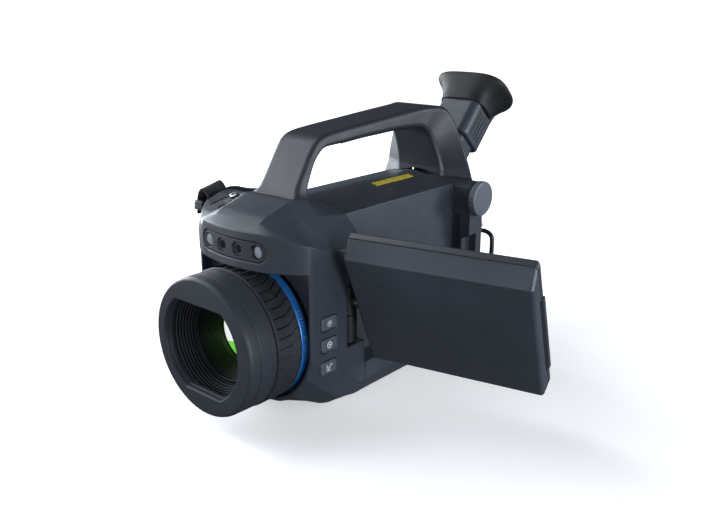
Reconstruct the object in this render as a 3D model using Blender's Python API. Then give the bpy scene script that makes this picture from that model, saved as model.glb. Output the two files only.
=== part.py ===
"""Handheld thermal imaging camera, camcorder style, as separate solids.

Frame: +Z up, -Y is the lens side, +X is the side that carries the fold-out screen.
Origin on the base plane, under the lens axis. Lengths are millimetres; meshes are metres.
"""
import math
from functools import cache

import bmesh
import bpy
from mathutils import Matrix, Vector

MM = 0.001
X_AXIS, Y_AXIS, Z_AXIS = (1, 0, 0), (0, 1, 0), (0, 0, 1)

# ---- driving dimensions (mm, degrees) ----
HALF_W = 57.2                        # body half width
BODY_REAR = 126.0                    # rear face
SEAM_Y = -30.0                       # joint between the front housing and the main shell
GAP = 0.3                            # clearance at that joint
LENS_Z = 58.6                        # height of the lens axis
LENS_CENTRE = (0, 0, LENS_Z)
BARREL_R = 43.9                      # bore of the rings carried on the lens barrel
RECESS_X = 38.8                      # floor of the screen recess
RECESS_REAR = 105.2
RECESS_Z = 29.3
HINGE_X, HINGE_Y = 48.2, -38.9       # vertical screen hinge
HINGE_BASE = (HINGE_X, HINGE_Y, 0)
KNUCKLE_R = 7.2
PIN_BORE_R = 2.8
TILT_Z = 78.8                        # height of the screen tilt shaft
SWING = 78.06                        # screen opened this far from closed
TILT = 26.19                         # screen tilted this far about its shaft
PIVOT = Vector((0, 114.7, 128.6))    # centre of the viewfinder pivot and knob axis
PIVOT_BORE_R = 4.3
BOSS_R = 13.8                        # boss under the viewfinder knob
VIEWFINDER_ELEVATION = 47.1
TUBE_OFFSET = 7.6                    # tube centre line behind the pivot
SLOT_HALF_W = 18.6                   # viewfinder slot
SENSOR_Z = 124.7                     # centre height of the sensor bar
BEZEL_SETBACK = 1.1                  # sensor bezel face behind the brow face

# ---- features shared by a pocket and the part that fills it ----
SIDE_BUTTONS = [("button_light", -67.8, 72.4), ("button_preset", -68.1, 56.4),
                ("button_measure", -68.8, 39.5)]                        # name, y, z
REAR_BUTTONS = [("rear_mode_button", -44.0, 112.0, 4.0),
                ("rear_nav_button", -44.0, 96.0, 6.5)]                  # name, x, z, radius
FEET = [("foot_right", -36.0), ("foot_left", 36.0)]                     # name, x
FOOT_Y = 44
COVER_Y, COVER_Z, COVER_HALF_Y, COVER_HALF_Z = 22, 86, 42, 33           # far side cover
FLAP_Y, FLAP_Z, FLAP_HALF_Y, FLAP_HALF_Z = 40, 33.5, 27, 15.5           # connector flap
COVER_FIT = 0.4                                                         # clearance of both
TRIPOD_Y = 18

# ================= materials =================
# Each finish is base colour, roughness, metallic.
PLASTIC = ((0.035, 0.040, 0.048), 0.55, 0.0)
BLACK = ((0.008, 0.008, 0.010), 0.6, 0.0)
STEEL = ((0.55, 0.56, 0.58), 0.3, 1.0)
LAMP = ((0.55, 0.57, 0.6), 0.35, 0.0)
SIDE_BUTTON_GREY = ((0.09, 0.10, 0.115), 0.5, 0.0)
REAR_BUTTON_GREY = ((0.08, 0.085, 0.095), 0.5, 0.0)
FINISHES = {
    **dict.fromkeys((
        "front_housing_plastic", "main_shell_plastic", "handle_plastic", "hood_plastic",
        "screen_cover_plastic", "viewfinder_arm_plastic", "viewfinder_sleeve_plastic",
        "battery_door_plastic", "side_cover_plastic"), PLASTIC),
    **dict.fromkeys((
        "grip_rubber", "baffle_black", "inner_barrel_black", "barrel_black",
        "focus_ring_rubber", "mount_black", "rocker_plastic", "screen_bezel_plastic",
        "eyecup_rubber", "latch_plastic", "flap_rubber", "foot_right_rubber",
        "foot_left_rubber", "bracket_rear_plastic", "webbing_black", "hand_strap_fabric"),
        BLACK),
    **dict.fromkeys((
        "pin_steel", "tilt_shaft_steel", "pivot_steel", "screw_steel", "bright_screw"), STEEL),
    **dict.fromkeys(("lamp_lens_right", "lamp_lens_left"), LAMP),
    **{"side_button_grey_" + name: SIDE_BUTTON_GREY for name, _, _ in SIDE_BUTTONS},
    **{name + "_plastic": REAR_BUTTON_GREY for name, *_ in REAR_BUTTONS},
    "guide": ((0.04, 0.045, 0.05), 0.55, 0.0),
    "sensor_bar_plastic": ((0.03, 0.033, 0.04), 0.4, 0.0),
    "camera_lens_glass": ((0.01, 0.01, 0.012), 0.08, 0.0),
    "laser_window_glass": ((0.02, 0.02, 0.022), 0.1, 0.0),
    "germanium_lens": ((0.05, 0.22, 0.05), 0.05, 0.6),
    "index_ring_blue": ((0.02, 0.16, 0.5), 0.35, 0.0),
    "record_button_metal": ((0.6, 0.6, 0.62), 0.3, 0.8),
    "hinge_bracket_metal": ((0.02, 0.02, 0.023), 0.4, 0.5),
    "knuckle_metal": ((0.03, 0.03, 0.035), 0.4, 0.5),
    "screen_glass": ((0.01, 0.012, 0.015), 0.05, 0.0),
    "display_module_metal": ((0.4, 0.4, 0.42), 0.4, 0.8),
    "eyepiece_glass": ((0.02, 0.02, 0.03), 0.05, 0.0),
    "knob_plastic": ((0.06, 0.065, 0.075), 0.45, 0.0),
    "detector_metal": ((0.5, 0.5, 0.52), 0.35, 1.0),
    "cooler_metal": ((0.45, 0.45, 0.47), 0.35, 1.0),
    "circuit_board_green": ((0.01, 0.12, 0.05), 0.5, 0.0),
    "battery_plastic": ((0.02, 0.02, 0.022), 0.6, 0.0),
    "tripod_plate_metal": ((0.35, 0.35, 0.36), 0.4, 1.0),
    "marking_yellow": ((0.7, 0.55, 0.05), 0.5, 0.0),
    "strap_bar_metal": ((0.03, 0.03, 0.035), 0.35, 0.6),
    "bracket_front_plastic": ((0.05, 0.055, 0.065), 0.5, 0.0),
}


@cache
def material(name):
    colour, roughness, metallic = FINISHES[name]
    result = bpy.data.materials.new(name)
    result.use_nodes = True
    inputs = result.node_tree.nodes["Principled BSDF"].inputs
    inputs["Base Color"].default_value = (*colour, 1.0)
    inputs["Roughness"].default_value = roughness
    inputs["Metallic"].default_value = metallic
    return result


# ================= objects and booleans =================
def make(name, mesh, material_name, origin=(0, 0, 0), smooth=None):
    """Turn a millimetre bmesh into an object; smooth is the sharp edge angle in degrees."""
    bmesh.ops.remove_doubles(mesh, verts=mesh.verts, dist=1e-4)
    bmesh.ops.recalc_face_normals(mesh, faces=mesh.faces)
    origin = Vector(origin)
    for vert in mesh.verts:
        vert.co = (vert.co - origin) * MM
    data = bpy.data.meshes.new(name)
    mesh.to_mesh(data)
    mesh.free()
    if smooth:
        data.shade_smooth()
        data.set_sharp_from_angle(angle=math.radians(smooth))
    result = bpy.data.objects.new(name, data)
    result.location = origin * MM
    bpy.context.scene.collection.objects.link(result)
    data.materials.append(material(material_name))
    return result


def combine(target, name, mesh, operation):
    """Add a boolean modifier driven by a hidden helper named cut_<name>."""
    helper = make("cut_" + name, mesh, "guide")
    helper.hide_render = True
    helper.display_type = 'WIRE'
    modifier = target.modifiers.new(operation.lower(), 'BOOLEAN')
    modifier.operation = operation
    modifier.object = helper
    modifier.solver = 'EXACT'


def cut(target, name, mesh):
    combine(target, name, mesh, 'DIFFERENCE')


def join(target, name, mesh):
    combine(target, name, mesh, 'UNION')


# ================= outlines =================
def arc(centre_u, centre_v, radius_u, radius_v, start, extent, steps):
    """Points of an elliptical arc; angles in degrees."""
    angles = [math.radians(start + extent * k / steps) for k in range(steps + 1)]
    return [(centre_u + radius_u * math.cos(a), centre_v + radius_v * math.sin(a))
            for a in angles]


def rounded_rect(half_u, half_v, radius, steps, centre_u=0.0, centre_v=0.0):
    """Rounded rectangle in 2-D, counter-clockwise."""
    points = []
    for side_u, side_v, start in ((1, 1, 0), (-1, 1, 90), (-1, -1, 180), (1, -1, 270)):
        points += arc(centre_u + side_u * (half_u - radius),
                      centre_v + side_v * (half_v - radius), radius, radius, start, 90, steps)
    return points


# Placers: carry outline coordinates u, v and a distance along the named axis into space.
def along_x(u, v, distance):
    return (distance, u, v)


def along_y(u, v, distance):
    return (u, distance, v)


def along_z(u, v, distance):
    return (u, v, distance)


def rounded_rings(place, stations, steps, centre=(0, 0)):
    """Rounded rectangles; a station is distance, half u, half v, corner radius."""
    return [[place(u, v, distance)
             for u, v in rounded_rect(half_u, half_v, radius, steps, *centre)]
            for distance, half_u, half_v, radius in stations]


# ================= solids =================
def loft(rings, mesh=None, loop=False):
    """Skin rings of equal point counts; capped at both ends, or joined end to start."""
    mesh = mesh or bmesh.new()
    rows = [[mesh.verts.new(Vector(point)) for point in ring] for ring in rings]
    pairs = list(zip(rows, rows[1:]))
    if loop:
        pairs.append((rows[-1], rows[0]))
    count = len(rows[0])
    for lower, upper in pairs:
        for i in range(count):
            j = (i + 1) % count
            mesh.faces.new((lower[i], lower[j], upper[j], upper[i]))
    if not loop:
        mesh.faces.new(rows[0])
        mesh.faces.new(list(reversed(rows[-1])))
    return mesh


def prism(outline, place, start, end, mesh=None):
    return loft([[place(u, v, distance) for u, v in outline] for distance in (start, end)],
                mesh)


def box(x0, x1, y0, y1, z0, z1, mesh=None):
    return prism([(x0, y0), (x1, y0), (x1, y1), (x0, y1)], along_z, z0, z1, mesh)


def lathe(profile, centre, axis, segments, mesh=None):
    """Turned solid; profile is (radius, distance along axis).

    Radius 0 gives a point on the axis; a profile clear of the axis at both ends is
    joined end to start.
    """
    mesh = mesh or bmesh.new()
    axis = Vector(axis).normalized()
    guide = Vector(Z_AXIS) if abs(axis.z) < 0.9 else Vector(X_AXIS)
    side = guide.cross(axis).normalized()
    other = axis.cross(side)
    centre = Vector(centre)
    angles = [2 * math.pi * k / segments for k in range(segments)]
    rows = []
    for radius, distance in profile:
        middle = centre + axis * distance
        if radius < 1e-6:
            rows.append([mesh.verts.new(middle)])
        else:
            rows.append([mesh.verts.new(
                middle + (side * math.cos(a) + other * math.sin(a)) * radius) for a in angles])
    pairs = list(zip(rows, rows[1:]))
    if len(rows[0]) > 1 and len(rows[-1]) > 1:
        pairs.append((rows[-1], rows[0]))
    for first, second in pairs:
        if len(first) == 1 and len(second) == 1:
            continue
        for k in range(segments):
            j = (k + 1) % segments
            if len(first) == 1:
                mesh.faces.new((first[0], second[j], second[k]))
            elif len(second) == 1:
                mesh.faces.new((first[k], first[j], second[0]))
            else:
                mesh.faces.new((first[k], first[j], second[j], second[k]))
    return mesh


def rod(centre, axis, radius, start, end, segments=24, chamfer=0.0, mesh=None):
    if chamfer:
        profile = [(0, start), (radius - chamfer, start), (radius, start + chamfer),
                   (radius, end - chamfer), (radius - chamfer, end), (0, end)]
    else:
        profile = [(0, start), (radius, start), (radius, end), (0, end)]
    return lathe(profile, centre, axis, segments, mesh)


def sweep(stations, width_direction, radius=None, steps=2):
    """Band along a path; a station is x, y, z, half width, half thickness."""
    points = [Vector(station[:3]) for station in stations]
    last = len(points) - 1
    rings = []
    for i, point in enumerate(points):
        half_width, half_thick = stations[i][3:]
        tangent = (points[min(i + 1, last)] - points[max(i - 1, 0)]).normalized()
        across = Vector(width_direction)
        across = (across - tangent * across.dot(tangent)).normalized()
        normal = tangent.cross(across)
        corner = half_thick * 0.95 if radius is None else radius
        rings.append([point + across * a + normal * b
                      for a, b in rounded_rect(half_width, half_thick, corner, steps)])
    return loft(rings)


def uniform(path, half_width, half_thick):
    """Sweep stations of one width and thickness."""
    return [(*point, half_width, half_thick) for point in path]


# ================= body sections =================
DECK = [(0, 147.5), (6, 147.0), (39.3, 139.7)]      # x, z from the centre outwards
DECK_EDGE_Z = 130.0                                 # deck height at the body side
LOWER_SIDE = [(HALF_W, 16), (52, 4.5), (44, 0), (20, 0), (0, 0)]
BROW_BASE = 111.5                                   # underside of the brow

# y, half width, top z, crown (x, z), edge (x, z), corner z, far side points
BROW = [
    (-106.4, 3.0, 137.5, (1.5, 137.5), (2.5, 137.4), 136.9, ()),
    (-105.9, 11.0, 137.9, (7.0, 137.9), (10.5, 137.5), 136.9, ()),
    (-105.0, 17.3, 138.6, (11.0, 138.5), (16.8, 137.6), 136.9, ()),
    (-103.2, 26.2, 139.8, (16.0, 139.6), (25.6, 137.7), 136.9, ()),
    (-101.0, 34.0, 141.2, (20.0, 140.9), (32.8, 137.8), 136.8,
     ((-32.8, 137.8), (-34.0, 133.0), (-34.0, 122.0))),
    (-97.0, 41.4, 143.6, (22.0, 143.2), (33.2, 139.2), 135.4,
     ((-33.2, 139.4), (-40.0, 134.6), (-41.4, 126.0))),
    (-92.0, 49.6, 146.2, (22.0, 145.8), (32.4, 140.6), 133.6,
     ((-35.6, 139.6), (-47.0, 134.0), (-49.6, 126.5))),
    (-88.0, 54.8, 147.3, (22.0, 146.9), (31.8, 141.4), 132.2,
     ((-40.0, 138.2), (-51.0, 134.6), (-54.8, 127.0))),
    (-86.0, 56.6, 147.8, (22.0, 147.4), (31.6, 141.7), 131.4,
     ((-41.0, 138.4), (-51.5, 140.0), (-56.6, 128.0))),
]
# y, near side points (x, z) from top centre to bottom centre, far side points
HOUSING = [
    (-85.9, [(0, 147.8), (22, 147.4), (31.6, 141.7), (56.7, 131.3), (56.7, 50),
             (51.5, 34.6), (37.8, 17.0), (20, 7.4), (0, 4.2)],
     ((-41.0, 138.5), (-51.5, 140.2), (-56.7, 128.1))),
    (-82.0, [(0, 149.0), (22, 148.6), (31.6, 142.0), (HALF_W, 129.6), (HALF_W, 46),
             (51.9, 30.4), (38.6, 13.6), (20.5, 5.4), (0, 2.8)],
     ((-36.5, 141.0), (-51.0, 145.2), (-HALF_W, 130.0))),
    (-69.0, [(0, 153.2), (22, 152.8), (32.6, 142.6), (HALF_W, 124.6), (HALF_W, 39),
             (51.7, 19.5), (40, 6.4), (20, 2.2), (0, 1.2)],
     ((-33.0, 147.8), (-51.0, 149.2), (-HALF_W, 131.5))),
    (-61.0, [(0, 153.2), (22, 152.8), (34.0, 142.4), (HALF_W, 122.8), (HALF_W, 35),
             (51.5, 13.6), (41, 2.4), (20, 0.6), (0, 0.3)],
     ((-36.0, 149.6), (-52.0, 149.6), (-HALF_W, 131.5))),
    (-53.0, [(0, 153.0), (22, 152.4), (35.6, 141.8), (HALF_W, 121.5), (HALF_W, 31),
             (51.5, 8), (41, 0), (20, 0), (0, 0)],
     ((-38.0, 147.6), (-51.5, 148.2), (-HALF_W, 131.0))),
    (-36.0, [(0, 148.8), (10, 148.2), (38.4, 140.2), (HALF_W, 121.0), *LOWER_SIDE],
     ((-39.2, 141.8), (-53.5, 136.5), (-HALF_W, 129.5))),
    (SEAM_Y - GAP, [*DECK, (HALF_W, 121), *LOWER_SIDE],
     ((-39.3, 139.7), (-56.9, 130.2), (-HALF_W, 126.0))),
]


def section(y, near, far=()):
    """Closed body section from the near (screen side) half outline.

    A point is added below the near corner; far replaces the mirrored third, fourth
    and added points.
    """
    top, *side, bottom = near
    corner_x, corner_z = side[2]
    side.insert(3, (corner_x, min(122.0, corner_z - 4.0)))
    mirrored = [(-x, z) for x, z in side]
    mirrored[1:1 + len(far)] = far
    return [(x, y, z) for x, z in (top, *side, bottom, *reversed(mirrored))]


def brow_rings():
    rings = []
    for y, half_w, top, crown, edge, corner_z, far in BROW:
        base = [(half_w * share, BROW_BASE) for share in (1, 0.9, 0.7, 0.35, 0)]
        rings.append(section(y, [(0, top), crown, edge, (half_w, corner_z), *base], far))
    return rings


def shell_section(y, corner_z=DECK_EDGE_Z):
    return section(y, [*DECK, (HALF_W, corner_z), *LOWER_SIDE],
                   ((-39.3, 139.7), (-HALF_W, DECK_EDGE_Z), (-HALF_W, 122.0)))


def deck_z(x):
    """Height of the deck at x; the outer slope runs on past the body side."""
    x = abs(x)
    points = [*DECK, (HALF_W, DECK_EDGE_Z)]
    for (x0, z0), (x1, z1) in zip(points, points[1:]):
        if x < x1:
            break
    return z0 + (x - x0) * (z1 - z0) / (x1 - x0)


# ================= front housing =================
# raised pod with the thumb controls, on the side away from the screen
POD_CENTRE = Vector((-41.0, -75.5, 145.4))
POD_NORMAL = Vector((0.0, -0.4229, 0.9062))
POD_ACROSS = Vector(X_AXIS)
POD_REARWARD = Vector((0.0, 0.9062, 0.4229))
RECORD_UV = (5.5, 7.9)
ROCKER_UV = (6.2, -3.8)


def on_pod(u, v, height):
    """Point on the pod: u towards +X, v rearwards and up, height off its face."""
    return POD_CENTRE + POD_ACROSS * u + POD_REARWARD * v + POD_NORMAL * height


def sensor_bar_outline(margin):
    return rounded_rect(32.2 + margin, 7.3 + margin, 7.25 + margin, 6, 0, SENSOR_Z)


def lens_pocket_outline():
    """Round below, squared with round corners under the brow."""
    half_w, half_height, top, corner = 55.2, 52.4, 112.2, 11.0
    return (arc(0, LENS_Z, half_w, half_height, 180, 180, 28)
            + arc(half_w - corner, top - corner, corner, corner, 0, 90, 4)
            + arc(-half_w + corner, top - corner, corner, corner, 90, 90, 4))


def build_front_housing():
    rings = brow_rings() + [section(*row) for row in HOUSING]
    front = make("front_housing", loft(rings), "front_housing_plastic", smooth=25)
    cut(front, "front_cavity", box(-50.2, 34.3, -51.7, SEAM_Y + 5, 8.3, 123.7))
    cut(front, "lens_pocket", prism(lens_pocket_outline(), along_y, -87.5, -76.9))
    cut(front, "mount_pocket", rod(LENS_CENTRE, Y_AXIS, 48.6, -79.0, -60.0, 36))
    cut(front, "sensor_pocket", prism(sensor_bar_outline(0.0), along_y, -110, -98.6))
    pockets = bmesh.new()
    for _, y, z in SIDE_BUTTONS:
        prism(rounded_rect(8.1, 5.2, 2.6, 2, y, z), along_x, 52.4, 60, pockets)
    cut(front, "button_pockets", pockets)
    cut(front, "hinge_pocket", box(38.5, 60, -49.2, SEAM_Y + 5, 47.6, 108.4))
    cut(front, "record_pocket", rod(on_pod(*RECORD_UV, 0), POD_NORMAL, 3.8, -4.6, 8.0))
    cut(front, "rocker_pocket",
        prism(rounded_rect(3.5, 6.5, 3.3, 3, *ROCKER_UV), on_pod, -5.0, 9.0))
    slot = [(-5.4, -8.0), (-4.6, -8.6), (1.4, 4.6), (0.6, 5.2)]
    cut(front, "thumb_slot", prism(slot, on_pod, -2.2, 8.0))
    cut(front, "optical_port", rod(LENS_CENTRE, Y_AXIS, 27.3, -62.0, -48.0))


# ================= main shell =================
def shell_rear_ring():
    """Rear face: drawn in towards mid height, with the base points lifted."""
    shrink, middle_z, base_lift = 0.975, 73, 1.4
    return [(x * shrink, y, middle_z + (z - middle_z) * shrink if z > 5 else z + base_lift)
            for x, y, z in shell_section(BODY_REAR)]


def build_main_shell():
    shell = make("main_body_shell",
                 loft([shell_section(SEAM_Y, 121.0), shell_section(100.0),
                       shell_section(BODY_REAR - 2.0), shell_rear_ring()]),
                 "main_shell_plastic", smooth=25)
    join(shell, "knob_boss", rod(PIVOT, X_AXIS, BOSS_R, 24.0, 57.0, 32))
    cut(shell, "screen_recess", box(RECESS_X, 70, SEAM_Y - 3, RECESS_REAR, RECESS_Z, 170))
    cut(shell, "lip_notch", box(RECESS_X, 47.0, RECESS_REAR - 1, RECESS_REAR + 1.6, 42, 114))
    notch = [(50.0, 94.4), (60.0, 99.1), (60.0, 58.0), (50.0, 58.0)]
    cut(shell, "finger_notch", prism(notch, along_y, RECESS_REAR - 1, 115.8))
    cut(shell, "electronics_bay", box(-53, 34.5, SEAM_Y - 5, 56, 6, 124))
    cut(shell, "battery_bay", box(-30, 30, 59, 130, 12, 82))
    cut(shell, "battery_door_recess", box(-34, 34, 121.9, 130, 7.4, 90.6))
    # open to the rear and to the deck
    cut(shell, "viewfinder_slot", box(-SLOT_HALF_W, SLOT_HALF_W, 100.4, 130, 96.0, 160))
    cut(shell, "pivot_bore", rod(PIVOT, X_AXIS, PIVOT_BORE_R, -26, 60, 20))
    cover = rounded_rect(COVER_HALF_Y, COVER_HALF_Z, 5, 2, COVER_Y, COVER_Z)
    cut(shell, "service_recess", prism(cover, along_x, -60, -55.2))
    flap = rounded_rect(FLAP_HALF_Y, FLAP_HALF_Z, 4, 2, FLAP_Y, FLAP_Z)
    cut(shell, "connector_bay", prism(flap, along_x, -60, -54.9))
    plate = rounded_rect(22.3, 22.3, 4, 2, 0, TRIPOD_Y)
    cut(shell, "tripod_pocket", prism(plate, along_z, -2, 3.0))
    pockets = bmesh.new()
    for _, x in FEET:
        prism(rounded_rect(5.8, 42.4, 5.7, 3, x, FOOT_Y), along_z, -2, 1.2, pockets)
    cut(shell, "feet_pockets", pockets)
    pockets = bmesh.new()
    for _, x, z, radius in REAR_BUTTONS:
        rod((x, 0, z), Y_AXIS, radius + 0.4, 122.6, 130, mesh=pockets)
    cut(shell, "rear_button_pockets", pockets)


# ================= handle =================
# outer y, z, inner y, z, outer half width, inner half width, corner size
HANDLE = [
    (-60.8, 153.5, -50.0, 153.5, 20.5, 21.5, 3.0),
    (-56.6, 161.0, -46.2, 161.6, 19.6, 20.4, 3.0),
    (-48.6, 173.6, -39.6, 174.4, 19.2, 19.8, 3.0),
    (-42.2, 183.4, -34.0, 180.6, 19.2, 19.6, 3.0),
    (-36.6, 189.8, -28.6, 184.0, 19.2, 19.6, 3.0),
    (-27.6, 193.6, -22.0, 184.8, 19.2, 19.6, 3.0),
    (-10.0, 195.6, -8.6, 185.2, 19.2, 19.6, 3.0),
    (20.0, 197.8, 20.6, 187.0, 19.2, 19.6, 3.0),
    (56.0, 200.4, 56.4, 188.0, 19.2, 19.6, 3.0),
    (88.0, 202.4, 83.0, 187.0, 19.6, 19.6, 3.0),
    (101.5, 202.8, 90.0, 184.6, 22.5, 19.8, 3.0),
    (111.5, 200.8, 95.5, 180.6, 26.0, 20.2, 3.5),
    (117.2, 193.4, 99.0, 175.4, 29.6, 20.8, 3.5),
    (120.0, 183.0, 102.6, 168.0, 33.2, 21.4, 3.5),
    (122.4, 169.0, 106.4, 159.0, 38.2, 22.4, 3.5),
    (124.6, 156.0, 108.4, 151.8, 42.0, 23.4, 3.5),
    (125.8, 148.2, 108.8, 148.2, 44.0, 24.0, 3.5),
]
GRIP_LINE = [(-4.0, 185.55), (20.0, 187.0), (56.0, 188.0), (76.0, 187.35)]     # y, z
# x, height above the grip line
GRIP_SECTION = [(-13, -1.4), (-14.2, 0.6), (-14.2, 1.6), (14.2, 1.6), (14.2, 0.6), (13, -1.4)]


def handle_ring(outer_y, outer_z, inner_y, inner_z, outer_half, inner_half, corner):
    outer = Vector((0, outer_y, outer_z))
    inward = Vector((0, inner_y, inner_z)) - outer
    depth = inward.length
    inward = inward / depth
    corner = min(corner, depth * 0.45)
    profile = [(0.0, outer_half - corner), (corner * 0.3, outer_half - corner * 0.3),
               (corner, outer_half), (depth - corner, inner_half),
               (depth - corner * 0.3, inner_half - corner * 0.3), (depth, inner_half - corner)]
    mirrored = [(distance, -half) for distance, half in reversed(profile)]
    return [outer + inward * distance + Vector((half, 0, 0))
            for distance, half in profile + mirrored]


def handle_foot_ring(ring):
    """The last ring dropped just below the deck, spread at its rear corners."""
    foot = []
    for point in ring:
        x = point.x * (1.1 if abs(point.x) > 41 and point.y > 118 else 1)
        foot.append(Vector((x, point.y, deck_z(x) - 2.5)))
    return foot


def grip_rings(width_scale, end_margin, lift):
    return [[(x * width_scale, y + end * end_margin, z + height + lift)
             for x, height in GRIP_SECTION]
            for (y, z), end in zip(GRIP_LINE, (-1, 0, 0, 1))]


def build_handle():
    rings = [handle_ring(*row) for row in HANDLE]
    rings.append(handle_foot_ring(rings[-1]))
    handle = make("top_handle", loft(rings), "handle_plastic", smooth=35)
    cut(handle, "tube_relief", box(-SLOT_HALF_W, SLOT_HALF_W, 113.0, 140, 110, 160.0))
    deck_line = [(x, deck_z(x) + 0.35) for x in (-70, -39.3, -6, 0, 6, 39.3, 70)]
    cut(handle, "deck_relief", prism([(-70, 90), *deck_line, (70, 90)], along_y, 60, 135))
    cut(handle, "boss_relief", rod(PIVOT, X_AXIS, BOSS_R + 0.4, 20.0, 62.0, 32))
    cut(handle, "grip_pad_relief", loft(grip_rings(1.03, 0.4, 0.35)))
    make("handle_grip_pad", loft(grip_rings(0.99, 0, -0.25)), "grip_rubber")


# ================= sensor bar =================
# name, x, material
WINDOWS = [
    ("sensor_lamp_right", -24.6, "lamp_lens_right"),
    ("laser_window", -8.2, "laser_window_glass"),
    ("visual_camera_lens", 8.2, "camera_lens_glass"),
    ("sensor_lamp_left", 24.6, "lamp_lens_left"),
]


def build_sensor_bar():
    bezel = make("sensor_bezel", prism(sensor_bar_outline(-0.35), along_y, -110, -99.0),
                 "sensor_bar_plastic")
    limit = loft([[(x, y + BEZEL_SETBACK, z) for x, y, z in ring] for ring in brow_rings()])
    combine(bezel, "bezel_limit", limit, 'INTERSECT')
    holes = bmesh.new()
    for _, x, _ in WINDOWS:
        rod((x, 0, SENSOR_Z), Y_AXIS, 4.9, -112, -95, mesh=holes)
    cut(bezel, "bezel_holes", holes)
    radius = 4.6
    for name, x, material_name in WINDOWS:
        # the bezel face curves back away from the centre
        face_y = -106.4 + 0.00465 * x * x + BEZEL_SETBACK
        profile = [(0, -99.0), (radius, -99.0), (radius, face_y + 2.0),
                   (radius - 1.0, face_y + 1.2), (0, face_y + 0.8)]
        make(name, lathe(profile, (x, 0, SENSOR_Z), Y_AXIS, 24), material_name, smooth=40)


# ================= lens group =================
# Profiles are (radius, y) about the lens axis.
HOOD = [(38.0, -134.3), (48.0, -134.3), (49.4, -133.5), (50.2, -131.2), (50.2, -110.6),
        (BARREL_R, -110.6), (BARREL_R, -118.6), (40.6, -118.6), (40.6, -127.5), (38.0, -127.5)]
BAFFLE = [(40.2, -127.2), (40.2, -112.6), (32.3, -112.6), (32.3, -116.0), (34.0, -117.0),
          (34.0, -120.0), (35.8, -121.0), (35.8, -124.0), (37.4, -125.0), (37.4, -127.2)]
INNER_BARREL = [(31.8, -114.3), (31.8, -96.0), (24.0, -90.0), (24.0, -62.5), (18.4, -62.5),
                (18.4, -88.0), (22.8, -93.2), (22.8, -99.4), (24.6, -104.0), (26.8, -109.0),
                (29.4, -114.3)]
FRONT_ELEMENT = [(0, -99.8), (8, -99.3), (15, -98.2), (22.3, -96.2), (22.3, -93.6), (0, -93.6)]
BARREL = [(40.6, -118.2), (43.5, -118.2), (43.5, -60.6), (24.4, -60.6), (24.4, -70.0),
          (38.0, -74.0), (40.6, -98.0)]
FOCUS_RING = [(BARREL_R, -110.2), (49.6, -110.2), (50.9, -109.2), (50.9, -88.6),
              (50.4, -88.0), (BARREL_R, -88.0)]
INDEX_RING = [(BARREL_R, -87.6), (50.0, -87.6), (50.4, -87.2), (50.4, -81.6), (50.0, -81.2),
              (BARREL_R, -81.2)]
MOUNT = [(BARREL_R, -80.8), (47.0, -80.8), (48.2, -80.0), (48.2, -62.0), (BARREL_R, -62.0)]
DETECTOR = [(0, -49.5), (23.0, -49.5), (23.0, -20.0), (14.0, -16.0), (14.0, 2.0), (0, 2.0)]


def turned(name, profile, segments, material_name, smooth=30, origin=(0, 0, 0)):
    """Part turned about the lens axis."""
    return make(name, lathe(profile, LENS_CENTRE, Y_AXIS, segments), material_name,
                origin, smooth)


def build_lens_group():
    hood = turned("lens_hood", HOOD, 48, "hood_plastic")
    # flats across the opening, top and bottom
    radius = 38.8
    for side, name, height in ((1, "top", 29.5), (-1, "bottom", 33.6)):
        start = math.degrees(math.asin(height / radius))
        flat = arc(0, LENS_Z, radius, side * radius, start, 180 - 2 * start, 8)
        join(hood, "hood_flat_" + name, prism(flat, along_y, -133.2, -127.6))
    turned("hood_baffle", BAFFLE, 32, "baffle_black")
    turned("inner_lens_barrel", INNER_BARREL, 28, "inner_barrel_black")
    turned("front_lens_element", FRONT_ELEMENT, 28, "germanium_lens", smooth=40)
    turned("lens_barrel", BARREL, 36, "barrel_black")
    turned("focus_ring", FOCUS_RING, 44, "focus_ring_rubber", origin=LENS_CENTRE)
    turned("blue_index_ring", INDEX_RING, 44, "index_ring_blue")
    turned("lens_mount", MOUNT, 36, "mount_black")


# ================= side buttons and thumb controls =================
def build_side_buttons():
    stations = [(53.9, 7.7, 4.7, 2.2), (57.0, 7.7, 4.7, 2.2), (57.7, 7.1, 4.1, 2.2)]
    for name, y, z in SIDE_BUTTONS:
        make(name, loft(rounded_rings(along_x, stations, 2, (y, z))),
             "side_button_grey_" + name, origin=(HALF_W, y, z), smooth=35)


def build_record_button():
    centre = on_pod(*RECORD_UV, 0)
    make("record_button", rod(centre, POD_NORMAL, 3.4, -3.6, 1.6, 24, 0.5),
         "record_button_metal", origin=centre, smooth=40)


def build_zoom_rocker():
    """Rocker dished at the middle of its length."""
    centre_u, centre_v = ROCKER_UV
    # offset along the rocker, half width, top height
    stations = [(-6.0, 1.4, 1.6), (-4.4, 2.9, 1.3), (-2.0, 3.1, 0.6), (0.0, 3.1, 0.3),
                (2.0, 3.1, 0.6), (4.4, 2.9, 1.3), (6.0, 1.4, 1.6)]
    rings = []
    for offset, half, top in stations:
        base = -3.4 + 0.3 * abs(offset)
        profile = [(-half, base), (-half, top - 0.6), (-half + 0.8, top),
                   (half - 0.8, top), (half, top - 0.6), (half, base)]
        rings.append([on_pod(centre_u + u, centre_v + offset, height)
                      for u, height in profile])
    make("zoom_rocker", loft(rings), "rocker_plastic",
         origin=on_pod(*ROCKER_UV, 0), smooth=35)


# ================= screen hinge and screen =================
TILT_CENTRE = Vector((HINGE_X, HINGE_Y, TILT_Z))
SHAFT_ANGLE = math.radians(90 - SWING)
SHAFT_AXIS = Vector((math.cos(SHAFT_ANGLE), math.sin(SHAFT_ANGLE), 0))
SCREEN_Y0, SCREEN_Y1 = -25.2, 104.9
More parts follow.
